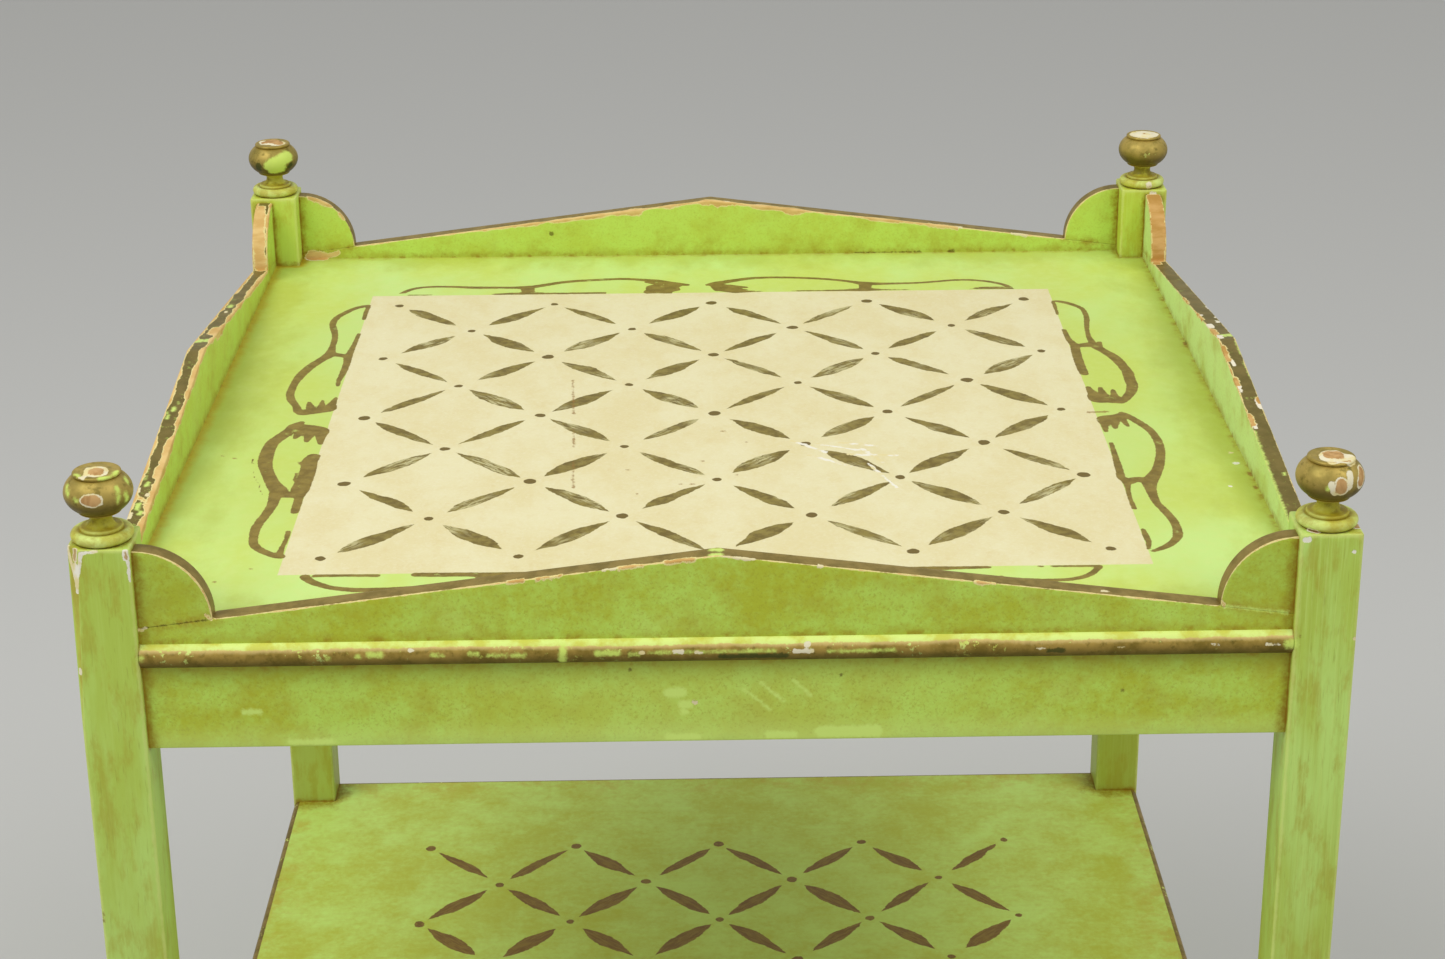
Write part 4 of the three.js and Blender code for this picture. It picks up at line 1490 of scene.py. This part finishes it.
def amber_in_joints(mix, colour, reach, share):
    """Glaze wiped into the joints: soft olive, amber by the posts, and a few rusty spots."""
    joint = mix.measure("joint")
    corner = mix.measure("corner")
    dabs = mix.minus(mix.cloud(15, detail=6, rough=0.7, shift=(3, 1, 7)), 0.5)
    uneven = mix.times(dabs, -3.5 * reach)
    soft = mix.rise(mix.plus(joint, uneven), 0.0, reach, share, 0)
    colour = mix.blend(soft, colour, OLIVE)
    by_post = mix.rise(mix.plus(corner, mix.times(uneven, 0.6)), 0.0, reach, 0.8, 0)
    grains = mix.rise(mix.cloud(2.8, detail=4, rough=0.7, shift=(2, 2, 6)), 0.4, 0.6, 0.35, 1)
    colour = mix.blend(mix.times(by_post, grains), colour, AMBER)
    gate = mix.rise(mix.cloud(10, detail=5, rough=0.7, shift=(6, 2, 2)), 0.46, 0.64, 0, 0.7)
    spots = mix.rise(mix.plus(joint, frayed(mix, 3, 0.9, shift=(1, 6, 1))), 0.2, 4.2, 1, 0)
    colour = mix.blend(mix.times(spots, gate), colour, AMBER_SPOT)
    line = mix.rise(mix.plus(corner, frayed(mix, 5, 0.4, shift=(4, 6, 1))), 0.1, 1.3, 0.6, 0)
    return mix.blend(line, colour, AMBER_LINE)


def dabbed_glaze(mix, sizes, shift=(0, 0, 0)):
    """Clouds of glaze in three sizes, from 0 to 1."""
    large = mix.cloud(sizes[0], detail=3, rough=0.55, warp=0.4, shift=shift)
    middling = mix.cloud(sizes[1], detail=5, rough=0.65, shift=(3, 1, 7))
    small = mix.cloud(sizes[2], detail=4, rough=0.7, shift=(6, 2, 1))
    return mix.plus(mix.times(large, 0.42), mix.times(middling, 0.32), mix.times(small, 0.26))


print("recipe ready")

# %% [markdown]
# ## Lime paint on the boards
# On the galleries and aprons, the glaze was dabbed on in clouds, so the lime shows fresh in
# places and olive in others. It is darkest near the joints. The inner faces are painted paler,
# with thinner glaze and most on the right, as painted light bounced off the tray and from the
# stronger left lamp. The aprons carry painted shade just under the tray's bead, and painted
# light towards their lower edge.
# The tops are gilded. There the bronze is the first to wear, along the corners.
#
# Light and hands treat the sides of the table differently, so some layers come in across a
# span of x, y or z: two places in metres between which a layer grows.

# %% Spans of the table
INNER_TO_OUTER = (0.292, 0.298)
TO_RIGHT = (0.28, 0.29)
FROM_LEFT = (-0.29, -0.28)
TO_GALLERY = (0.6, 0.608)
LOW_ON_APRON = (0.576, 0.56)
BACK_POSTS = (0.2, 0.28)
OVER_POSTS = (0.655, 0.665)

# %% Board paint


def board_lime(mix, axes, inner, at_right, ambered, specks):
    """Lime under dabbed glaze, paler in the middle of the aprons. Painted light makes it paler inside the
    galleries and low on the aprons; painted shade darkens it just under the tray's bead.
    """
    x, y, z = axes
    # Painted light: the glaze is made thinner on the inner faces, so they read paler.
    glaze = mix.minus(dabbed_glaze(mix, (60, 17, 4)), mix.times(inner, 0.055))
    lime = mix.blend(mix.rise(glaze, 0.39, 0.61), picked(190, 222, 92), picked(182, 192, 50))
    # Painted light: the inner faces are painted paler, most on the right gallery, which faces the stronger
    # left lamp.
    pale = mix.blend(at_right, picked(208, 234, 106), picked(214, 240, 158))
    lime = mix.blend(mix.times(inner, mix.rise(x, *TO_RIGHT, 0.46, 0.88)), lime, pale)
    lime = mix.blend(mix.rise(ambered, 0.46, 0.74, 0, 0.55), lime, picked(174, 164, 38))
    fresh = mix.cloud(48, detail=5, rough=0.6, shift=(0, 9, 5))
    lime = mix.blend(mix.rise(fresh, 0.55, 0.72, 0, 0.4), lime, picked(202, 230, 116))

    from_middle = mix.least(mix.unsigned(x), mix.unsigned(y))
    wiped = mix.times(mix.rise(z, *TO_GALLERY, 1, 0), mix.rise(from_middle, 0.03, 0.2, 0.3, 0))
    lime = mix.blend(wiped, lime, picked(206, 234, 120))
    front_ears = mix.times(mix.rise(z, 0.62, 0.64), mix.rise(y, -0.3, -0.28, 0.16, 0))
    front_ears = mix.times(front_ears, mix.rise(from_middle, 0.22, 0.25))
    lime = mix.blend(front_ears, lime, picked(134, 150, 48))
    speckled = mix.times(mix.rise(specks, 0.5, 0.72), mix.rise(inner, 0, 1, 0.45, 0.25))
    lime = mix.blend(speckled, lime, picked(158, 152, 38))
    # Painted shade: the aprons darken just under the tray's bead, as in its shadow.
    painted_shade_under_bead = mix.times(mix.rise(z, 0.588, 0.604, 0, 0.38), mix.rise(z, 0.607, 0.608, 1, 0))
    lime = mix.blend(painted_shade_under_bead, lime, picked(128, 132, 34))
    # Painted light: the aprons are painted paler towards their lower edge.
    lime = mix.blend(mix.rise(z, *LOW_ON_APRON, 0, 0.45), lime, PALE_LIME_STREAK_AND_LIGHT)

    lime = amber_in_joints(mix, lime, 6.0, 0.42)
    streak = mix.times(mix.rise(z, 0.6205, 0.6245, 0.6, 0), mix.rise(x, -0.291, -0.289, 0, 1))
    streak = mix.times(streak, mix.rise(x, -0.28, -0.27, 1, 0))
    return mix.blend(streak, lime, picked(186, 166, 34))


def board_gilding(mix, x):
    """Bronze for the tops, duller on the left and right and broken by flecks of lime."""
    tone = mix.cloud(11, detail=5, rough=0.65, shift=(5, 1, 1))
    bronze = mix.blend(mix.rise(tone, 0.38, 0.64), picked(154, 132, 68), picked(128, 110, 48))
    beside = mix.rise(mix.unsigned(x), 0.287, 0.29)
    bronze = mix.blend(mix.times(beside, 0.45), bronze, picked(94, 90, 40))
    more = mix.plus(mix.times(beside, 0.035), mix.times(mix.rise(x, *FROM_LEFT, 1, 0), 0.03))
    flecks = mix.plus(mix.cloud(6, detail=6, rough=0.75, shift=(1, 7, 7)), more)
    return mix.blend(mix.rise(flecks, 0.65, 0.69), bronze, picked(156, 168, 76))


def board_wear(mix, y, brink, at_right):
    """How far the worn corners of the top reach over a place, and the wood and gesso in them."""
    uneven = mix.rise(mix.cloud(22, shift=(9, 0, 3)), 0.35, 0.65, 0.4, 1.5)
    width = mix.times(mix.measure("rub"), uneven)
    from_corner = mix.unsigned(mix.minus(brink, 0.1))
    edge = mix.plus(mix.minus(width, from_corner), frayed(mix, 3.2, 0.32, shift=(1, 1, 4)))
    cool_wood = wood_colour(mix, (4, 4, 1), picked(230, 196, 128), picked(212, 172, 100))
    warm_wood = wood_colour(mix, (4, 4, 1), picked(212, 168, 100), picked(190, 144, 70))
    warm = mix.most(at_right, mix.rise(y, -0.289, -0.28, 0.5, 0))
    chalk = mix.blend(at_right, picked(228, 216, 170), picked(238, 230, 204))
    return edge, mix.blend(warm, cool_wood, warm_wood), chalk


def board_paint():
    mix = Recipe("board_paint")
    x, y, z = mix.axes()
    inner = mix.rise(mix.most(mix.unsigned(x), mix.unsigned(y)), *INNER_TO_OUTER, 1, 0)
    at_right = mix.rise(x, *TO_RIGHT)
    ambered = mix.cloud(26, detail=5, rough=0.65, shift=(8, 8, 1))
    specks = mix.cloud(1.4, detail=3, rough=0.7, shift=(4, 1, 1))
    lime = board_lime(mix, (x, y, z), inner, at_right, ambered, specks)
    brink = mix.measure("brink")
    gilt = mix.rise(mix.plus(brink, frayed(mix, 6, 0.35, shift=(2, 2, 2))), -0.4, 0.0)
    colour = mix.blend(gilt, lime, board_gilding(mix, x))
    colour, fresh = touched_up(mix, colour, picked(210, 236, 120), picked(96, 82, 18))
    edge, wood, chalk = board_wear(mix, y, brink, at_right)
    colour, opened = worn_layers(mix, colour, wood, edge, chalk)
    rough = mix.plus(mix.rise(ambered, 0.3, 0.7, 0.52, 0.42), mix.times(opened, 0.25))
    grain = mix.cloud(2.5, detail=4, stretch=(10, 10, 1), shift=(1, 5, 2))
    height = mix.plus(mix.times(grain, 0.35), mix.times(opened, -0.8), mix.times(specks, -0.15))
    return mix.finish(colour, rough, height, mix.times(gilt, mix.rest(mix.most(opened, fresh)), 0.3))


keep_finish("board_paint", board_paint())

# %% [markdown]
# ## Lime paint on the posts
# The posts have the same paint. Their glaze was drawn down with the brush, so it lies in
# fine upright streaks, and the rubbed long edges show a paler line. Below the tray the posts
# are darkened as painted shade.

# %% Post paint


def post_lime(mix, axes, streaks, dabs):
    """Lime under glaze drawn down in streaks, stronger to the right and yellower at the back, with painted
    shade below the tray.
    """
    x, y, z = axes
    clouds = mix.cloud(26, detail=4, stretch=(1, 1, 4), shift=(1, 2, 3))
    lime = mix.blend(mix.rise(clouds, 0.38, 0.62), picked(196, 230, 120), picked(184, 208, 86))
    streaky = mix.rise(x, -0.29, 0.29, 0.12, 0.32)
    lime = mix.blend(mix.times(mix.rise(streaks, 0.42, 0.66), streaky), lime, picked(168, 182, 62))
    lime = mix.blend(mix.rise(dabs, 0.48, 0.66, 0, 0.55), lime, picked(174, 164, 46))
    comb = mix.cloud(1.2, detail=2, rough=0.6, stretch=(1, 1, 50), shift=(7, 1, 1))
    lime = mix.blend(mix.times(mix.rise(comb, 0.5, 0.68), streaky), lime, PALE_LIME_STREAK_AND_LIGHT)
    pores = mix.cloud(0.9, detail=2, rough=0.6, stretch=(1, 1, 14), shift=(2, 4, 4))
    lime = mix.blend(mix.rise(pores, 0.6, 0.75, 0, 0.3), lime, picked(140, 136, 38))
    # The back posts get a yellower tinge; below the tray it is darker, which is painted shade.
    back_tinge_and_shade = mix.blend(mix.rise(z, 0.5, 0.6), picked(182, 172, 14), picked(214, 220, 60))
    lime = mix.blend(mix.rise(y, *BACK_POSTS, 0, 0.4), lime, back_tinge_and_shade)
    at_back = mix.times(mix.rise(dabs, 0.46, 0.62), mix.rise(y, *BACK_POSTS, 0, 0.14))
    lime = mix.blend(at_back, lime, picked(178, 150, 12))
    # Painted shade: the posts darken below the tray.
    return mix.blend(mix.rise(z, 0.42, 0.6, 0.3, 0), lime, picked(160, 176, 74))


def amber_on_facet(mix, axes, lime, dabs):
    """Amber on the worn facet. It is the only face near a post's corner that is set back."""
    flat = [mix.unsigned(part) for part in axes[:2]]
    set_back = mix.rise(mix.most(*flat), 0.304, 0.3046, 1, 0)
    facet = mix.times(set_back, mix.rise(mix.least(*flat), 0.2975, 0.2985, 0, 0.7))
    glaze = mix.blend(mix.rise(dabs, 0.4, 0.6), picked(192, 196, 64), picked(176, 160, 44))
    return mix.blend(facet, lime, glaze)


def post_paint():
    mix = Recipe("post_paint")
    axes = mix.axes()
    streaks = mix.cloud(1.7, detail=4, rough=0.65, stretch=(1, 1, 36))
    dabs = mix.cloud(11, detail=5, rough=0.65, stretch=(1, 1, 3), shift=(4, 4, 1))
    lime = amber_on_facet(mix, axes, post_lime(mix, axes, streaks, dabs), dabs)
    lime = amber_in_joints(mix, lime, 2.6, 0.3)
    wander = frayed(mix, 9, 0.7, shift=(8, 1, 0))
    rubbed = mix.rise(mix.plus(mix.measure("arris"), wander), 0.6, 2.0, 0.48, 0)
    lime = mix.blend(rubbed, lime, picked(216, 226, 132))
    lime = touched_up(mix, lime, LIME_BRIGHT, picked(120, 78, 26))[0]
    wood = wood_colour(mix, (1, 1, 12), picked(198, 168, 116), picked(176, 144, 92))
    colour, opened = worn_layers(mix, lime, wood, ragged=0.5)
    rough = mix.plus(mix.rise(streaks, 0.3, 0.7, 0.52, 0.4), mix.times(opened, 0.25))
    return mix.finish(colour, rough, mix.plus(mix.times(streaks, 0.5), mix.times(opened, -0.8)))


keep_finish("post_paint", post_paint())

# %% [markdown]
# ## Bronze on beads and finials
# Beads and finials were painted lime first and gilded after. Along the top of the tray's beads
# the lime still shows as a bright line, while the shelf's beads are gilded all over. The foot
# of a finial was left lime too. The bronze has a soft shine, so it is part metal. Dark glaze
# fills the hollows of the turning. The undersides of beads and balls are darkened as painted
# shade, and a pale band where the gilding starts is a painted highlight.

# %% Worn gilding


def old_bronze(mix, high, tone, smudges, rim):
    """Bronze, darker on the shelf's beads, with a painted highlight: a pale band where the gilding starts.
    """
    bronze = mix.blend(mix.rise(tone, 0.38, 0.64), picked(190, 160, 80), picked(144, 122, 50))
    bronze = mix.blend(mix.rise(high, *OVER_POSTS, 0, 0.35), bronze, picked(168, 158, 88))
    bronze = mix.blend(mix.rise(high, 0.3, 0.4, 0.5, 0), bronze, picked(96, 82, 40))
    bronze = mix.blend(mix.rise(smudges, 0.52, 0.68, 0, 0.6), bronze, picked(100, 92, 32))
    # Painted highlight: a pale gold band where the gilding starts, below the lime line of the tray's beads
    # and above the collar of a finial.
    return mix.blend(mix.rise(rim, 0.2, 2.2, 0.75, 0), bronze, picked(230, 204, 132))


def glaze_and_painted_shade(mix, colour):
    """Painted shade under each overhang, amber glaze in the neck, and a brown line in every groove."""
    # Painted shade: the lower part of each bead and the ball below its middle darken, as in shade from
    # above.
    under = mix.plus(mix.measure("under"), frayed(mix, 8, 0.6, shift=(1, 7, 2)))
    colour = mix.blend(mix.rise(under, -3.0, 5.0, 0, 0.8), colour, picked(80, 68, 14))
    murk = mix.plus(mix.measure("hollow"), frayed(mix, 5, 1.0, shift=(2, 7, 7)))
    colour = mix.blend(mix.rise(murk, 2.0, 8.0, 0, 0.72), colour, picked(184, 172, 20))
    blots = mix.rise(mix.cloud(8, detail=5, shift=(7, 7, 1)), 0.46, 0.62, 0, 0.6)
    colour = mix.blend(mix.times(blots, mix.rise(murk, 5.0, 9.0)), colour, picked(102, 74, 10))
    seam = mix.plus(mix.measure("groove"), frayed(mix, 5, 0.4, shift=(5, 1, 1)))
    colour = mix.blend(mix.rise(seam, 0.0, 2.3, 0.55, 0), colour, picked(146, 116, 16))
    return mix.blend(mix.rise(mix.measure("corner"), 0.0, 1.0, 0.6, 0), colour, RUST)


def worn_gilding():
    mix = Recipe("worn_gilding")
    high = mix.axes()[2]
    on_top = mix.rise(high, *OVER_POSTS)
    tone = mix.cloud(13, detail=5, rough=0.6, shift=(1, 1, 6))
    smudges = mix.cloud(5, detail=5, rough=0.7, shift=(9, 3, 3))
    wander = mix.plus(frayed(mix, 45, 0.8, shift=(2, 2, 9)), frayed(mix, 4, 0.45))
    rim = mix.plus(mix.measure("gilt"), wander)
    bronze = old_bronze(mix, high, tone, smudges, rim)
    lime = mix.blend(mix.rise(tone, 0.4, 0.62), picked(220, 238, 136), picked(206, 208, 90))
    glazed = mix.rise(mix.cloud(8, detail=5, rough=0.65, shift=(6, 0, 2)), 0.4, 0.62, 0.08, 0.55)
    lime = mix.blend(mix.times(on_top, glazed), lime, picked(170, 148, 44))
    clusters = mix.times(mix.minus(mix.cloud(15, detail=3, shift=(0, 4, 4)), 0.5), 0.7)
    flecks = mix.plus(mix.cloud(2.8, detail=5, rough=0.7, shift=(4, 0, 9)), clusters)
    flecks = mix.minus(flecks, mix.times(on_top, 0.08))
    gilt = mix.times(mix.rise(rim, -0.3, 0.3), mix.rise(flecks, 0.66, 0.7, 1, 0))
    colour = glaze_and_painted_shade(mix, mix.blend(gilt, lime, bronze))
    colour, fresh = touched_up(mix, colour, LIME_BRIGHT, picked(52, 66, 22))
    wood = wood_colour(mix, (1, 1, 3), picked(202, 162, 106), picked(176, 134, 82))
    colour, opened = worn_layers(mix, colour, wood, chalk=picked(232, 224, 192), ragged=0.6)
    bare = mix.most(opened, fresh)
    rough = mix.plus(mix.rise(smudges, 0.3, 0.7, 0.36, 0.52), mix.times(opened, 0.2))
    height = mix.plus(mix.times(tone, 0.5), mix.times(bare, -0.6))
    return mix.finish(colour, rough, height, mix.times(gilt, mix.rest(bare), 0.35), shine=0.16)


keep_finish("worn_gilding", worn_gilding())

# %% [markdown]
# ## The painted tray
# The lattice is worked out in the material. Folding the coordinates of the square into one
# quarter of a cell turns all its leaves into one leaf, so that a few sums draw them all. Noise
# bends them apart again, as a hand does, and some leaves came out thin and streaky.

# %% Lattice
CELL = 100.0
# The folds are counted from far outside the square, so that no place is negative.
FOLD_START = 10.5 * CELL
LEAF_MIDDLE = 36.0
LEAF_HALF = (21.5, 27.0)
WANDERS = ((60, 1.0), (8, 0.5), (2.5, 0.25))


def wandering_place(mix):
    """The place in millimetres, pushed about by noises, each with a size and a reach."""
    flat = mix.add("ShaderNodeVectorMath", {0: mix.place, "Scale": 1 / MM}, operation="SCALE").outputs[0]
    for size, reach in WANDERS:
        feeds = {"Vector": mix.place, "Scale": 1 / MM / size, "Detail": 4.0}
        noise = mix.add("ShaderNodeTexNoise", feeds).outputs["Color"]
        feeds = {0: noise, 1: (0.5, 0.5, 0.5)}
        push = mix.add("ShaderNodeVectorMath", feeds, operation="SUBTRACT").outputs[0]
        feeds = {0: push, "Scale": NOISE_SPREAD * reach}
        push = mix.add("ShaderNodeVectorMath", feeds, operation="SCALE").outputs[0]
        flat = mix.add("ShaderNodeVectorMath", {0: flat, 1: push}, operation="ADD").outputs[0]
    return mix.axes(flat)


def length_of(mix, parts):
    return mix.sum("SQRT", mix.plus(*(mix.times(part, part) for part in parts)))


def leaf_depth(mix, along, across, half_width):
    """Depth inside a leaf: a bow of an uneven length and width, laid along the lattice."""
    half_length = mix.rise(mix.cloud(48, detail=1, shift=(9, 2, 6)), 0.38, 0.62, *LEAF_HALF)
    spread = mix.sum("DIVIDE", mix.minus(along, LEAF_MIDDLE), half_length)
    bow = mix.minus(1.0, mix.times(spread, spread))
    uneven = mix.cloud(52, detail=1, shift=(4, 9, 1))
    wide = mix.rise(uneven, 0.38, 0.62, half_width * 0.8, half_width * 1.22)
    return mix.minus(mix.times(bow, wide), mix.unsigned(across))


def dot_depth(mix, folded, dot_radius):
    """Depth inside the dots, which lie where the lines of the lattice cross."""
    near = length_of(mix, folded)
    far = length_of(mix, [mix.minus(CELL / 2, part) for part in folded])
    uneven = mix.cloud(30, detail=1, shift=(2, 2, 8))
    radius = mix.rise(uneven, 0.4, 0.6, dot_radius * 0.75, dot_radius * 1.1)
    return mix.minus(radius, mix.least(near, far))


def lattice(mix, middle, half_width, dot_radius):
    """A lattice of four by four cells: depth inside the leaves and dots, and streaks along a leaf."""
    away = [mix.minus(part, centre) for part, centre in zip(wandering_place(mix), middle)]
    folded = [mix.sum("PINGPONG", mix.plus(part, FOLD_START), CELL / 2) for part in away]
    inside = mix.minus(2 * CELL, mix.most(*(mix.unsigned(part) for part in away)))
    along = mix.times(mix.plus(*folded), math.sqrt(0.5))
    across = mix.times(mix.minus(*folded), math.sqrt(0.5))
    leaf = mix.least(leaf_depth(mix, along, across, half_width), inside)
    dots = mix.least(dot_depth(mix, folded, dot_radius), mix.plus(inside, 5.0))
    by_leaf = mix.times(mix.plus(away[0], mix.times(away[1], 2.3)), 0.011)
    feeds = {0: mix.times(along, 0.1), 1: mix.times(across, 0.75), 2: by_leaf}
    brushed = mix.add("ShaderNodeCombineXYZ", feeds).outputs[0]
    feeds = {"Vector": brushed, "Scale": 1.0, "Detail": 4.0, "Roughness": 0.6}
    return leaf, dots, mix.add("ShaderNodeTexNoise", feeds).outputs["Fac"]


# %% Tray paint
# Where the lattice has its middle, half the width of its leaves, and the radius of its dots.
TRAY_LATTICE = ((0.0, -12.0), 4.7, 3.3)


def tray_lime(mix, streaks):
    """Pale lime, more olive halfway between front and back, with amber along the galleries and a band of
    olive glaze and painted shade beside them.
    """
    x, y, _ = mix.axes()
    joint = mix.measure("joint")
    clouds = mix.cloud(70, detail=5, stretch=(1, 1.7, 1), shift=(2, 0, 5))
    lime = mix.blend(mix.rise(clouds, 0.36, 0.64), picked(206, 236, 138), picked(206, 224, 106))
    lime = mix.blend(mix.rise(streaks, 0.42, 0.68, 0, 0.35), lime, picked(214, 232, 134))
    beside = mix.rise(mix.unsigned(y), 0.12, 0.26, 0.32, 0)
    lime = mix.blend(beside, lime, picked(188, 202, 90))
    # Olive glaze and painted shade: a soft darker band on the tray along the galleries.
    dabs = mix.cloud(26, detail=6, rough=0.65, stretch=(1, 1.7, 1), shift=(7, 2, 1))
    uneven = mix.times(mix.minus(dabs, 0.5), -80.0)
    near = mix.rise(mix.plus(joint, uneven), 2.0, 36.0, 0.5, 0)
    lime = mix.blend(near, lime, picked(176, 186, 58))
    lime = amber_in_joints(mix, lime, 6.0, 0.34)
    wander = mix.plus(frayed(mix, 16, 1.8, shift=(4, 1, 9)), frayed(mix, 3, 0.8, shift=(8, 3, 1)))
    streak = mix.rise(mix.plus(joint, wander), 0.5, 7.0, 0.62, 0)
    streak = mix.times(streak, mix.rise(x, -0.27, -0.26, 1, 0))
    return mix.blend(streak, lime, picked(200, 172, 40))


def cream_square(mix):
    """The share of the cream paint: 1 inside its crisp, slightly wandering edge."""
    parts = mix.axes()
    flat = [mix.times(part, 1 / MM) for part in parts[:2]]
    half = SQUARE_HALF + SQUARE_BACK_EXTRA / 2
    across = mix.unsigned(mix.minus(flat[0], SQUARE_MIDDLE[0]))
    deep = mix.unsigned(mix.minus(flat[1], SQUARE_MIDDLE[1] + SQUARE_BACK_EXTRA / 2))
    beyond = mix.most(mix.minus(across, SQUARE_HALF), mix.minus(deep, half))
    return mix.rise(mix.plus(beyond, frayed(mix, 5, 0.12, shift=(3, 3, 3))), -0.2, 0.2, 1, 0)


def aged_cream(mix):
    stains = mix.cloud(36, detail=6, rough=0.68, stretch=(1, 1.5, 1), shift=(4, 4, 4))
    cream = mix.blend(mix.rise(stains, 0.36, 0.64), picked(234, 226, 180), picked(229, 217, 164))
    blots = mix.cloud(7, detail=6, rough=0.74, stretch=(1, 1.5, 1), shift=(2, 8, 4))
    cream = mix.blend(mix.rise(blots, 0.48, 0.72, 0, 0.25), cream, picked(218, 194, 130))
    chalk = mix.cloud(1.8, detail=4, rough=0.7, shift=(2, 4, 4))
    return mix.blend(mix.rise(chalk, 0.45, 0.72, 0, 0.35), cream, picked(242, 236, 206))


def draw_lattice(mix, colour, tone):
    """The leaves and dots of the tray. Some leaves are streaky, and the cream shows in them."""
    leaf, dots, brushed = lattice(mix, *TRAY_LATTICE)
    brown = mix.blend(mix.rise(tone, 0.36, 0.64), picked(113, 96, 38), picked(144, 128, 60))
    thin = mix.rise(mix.cloud(38, detail=2, shift=(6, 6, 2)), 0.47, 0.62)
    open_streaks = mix.times(thin, mix.rise(brushed, 0.44, 0.58))
    ghost = mix.blend(0.7, colour, picked(178, 170, 112))
    drawn = mix.rise(leaf, -0.25, 0.35)
    colour = mix.blend(drawn, colour, mix.blend(open_streaks, brown, ghost))
    return mix.blend(mix.rise(dots, -0.25, 0.3), colour, picked(114, 95, 40))


def tray_paint():
    mix = Recipe("tray_paint")
    streaks = mix.cloud(4, detail=5, rough=0.7, stretch=(2, 2, 1))
    tone = mix.cloud(7, detail=5, rough=0.68, shift=(3, 8, 3))
    colour = mix.blend(cream_square(mix), tray_lime(mix, streaks), aged_cream(mix))
    colour = draw_lattice(mix, colour, tone)
    scroll = mix.plus(mix.measure("scroll"), frayed(mix, 3.2, 0.3, shift=(1, 1, 1)))
    wiped = mix.rise(mix.cloud(13, detail=6, rough=0.7, shift=(5, 5, 0)), 0.6, 0.72, 1, 0.35)
    ink = mix.times(mix.rise(scroll, -0.3, 0.25, 1, 0), wiped)
    olive_brown = mix.blend(mix.rise(tone, 0.34, 0.66), picked(122, 102, 38), picked(146, 126, 54))
    colour = mix.blend(ink, colour, olive_brown)
    colour = touched_up(mix, colour, LIME_BRIGHT, picked(150, 108, 44))[0]
    colour, opened = worn_layers(mix, colour, wood_colour(mix, (12, 1, 1)))
    rough = mix.plus(mix.rise(streaks, 0.3, 0.7, 0.52, 0.42), mix.times(opened, 0.2))
    return mix.finish(colour, rough, mix.plus(mix.times(streaks, 0.3), mix.times(ink, 0.3)))


keep_finish("tray_paint", tray_paint())

# %% [markdown]
# ## The painted shelf
# The shelf has more glaze than the tray and no cream. The same lattice is painted on it in brown.
# Its middle is darkened as painted shade, where the tray overhangs it.

# %% Shelf paint
SHELF_LATTICE = ((1.0, 5.0), 5.0, 3.4)


def shelf_paint():
    mix = Recipe("shelf_paint")
    x, y, _ = mix.axes()
    glaze = dabbed_glaze(mix, (70, 20, 5), shift=(2, 7, 5))
    streaks = mix.cloud(2.6, detail=4, rough=0.65, stretch=(16, 1, 1))
    lime = mix.blend(mix.rise(glaze, 0.36, 0.64), picked(206, 236, 122), picked(192, 200, 68))
    lime = mix.blend(mix.rise(streaks, 0.42, 0.68, 0, 0.1), lime, picked(184, 186, 62))
    off_middle = length_of(mix, [x, mix.minus(y, 0.08)])
    # Painted shade: the shelf darkens towards its middle, under the tray.
    lime = mix.blend(mix.rise(off_middle, 0.06, 0.27, 0.26, 0), lime, picked(146, 146, 40))
    out = mix.most(mix.unsigned(x), mix.unsigned(y))
    ambered = mix.rise(mix.cloud(24, detail=6, rough=0.7, shift=(1, 3, 8)), 0.44, 0.64, 0, 0.6)
    lime = mix.blend(mix.times(ambered, mix.rise(out, 0.265, 0.3)), lime, picked(196, 176, 54))
    lime = amber_in_joints(mix, lime, 13.0, 0.5)
    leaf, dots, brushed = lattice(mix, *SHELF_LATTICE)
    brown = mix.blend(mix.rise(brushed, 0.4, 0.6), picked(122, 90, 36), picked(138, 112, 44))
    colour = mix.blend(mix.rise(mix.most(leaf, dots), -0.25, 0.35), lime, brown)
    return mix.finish(colour, mix.rise(streaks, 0.3, 0.7, 0.52, 0.42), mix.times(streaks, 0.4))


keep_finish("shelf_paint", shelf_paint())

# %% [markdown]
# ## Hidden wood and steel
# Corner blocks hold the tray to the aprons from below, each with a steel screw. They keep their
# CAD solids, with unpainted softwood and plain steel on them.

# %% Bare wood and steel


def bare_wood():
    mix = Recipe("bare_wood")
    grain = mix.cloud(4, detail=5, stretch=(10, 10, 1))
    colour = mix.blend(mix.rise(grain, 0.3, 0.7), picked(164, 122, 76), picked(200, 160, 108))
    return mix.finish(colour, mix.rise(grain, 0.3, 0.7, 0.75, 0.6), grain)


def screw_steel():
    mix = Recipe("screw_steel")
    scratches = mix.cloud(0.8, detail=3)
    colour = mix.blend(scratches, picked(150, 150, 146), picked(190, 190, 186))
    mix.shader.inputs["Metallic"].default_value = 1.0
    return mix.finish(colour, mix.rise(scratches, 0.3, 0.7, 0.3, 0.5), scratches)


keep_finish("bare_wood", bare_wood())
keep_finish("screw_steel", screw_steel())

KEPT_SOLIDS = {"corner_block": "bare_wood", "tray_screw": "screw_steel"}
for made, slot in made_pieces:
    made.data.materials.append(finishes[slot])
for name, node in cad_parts.items():
    kept = KEPT_SOLIDS.get(name.rsplit("_", 2)[0])
    if kept:
        for place in node.material_slots:
            place.material = finishes[kept]
print("finishes on", len(made_pieces), "pieces")
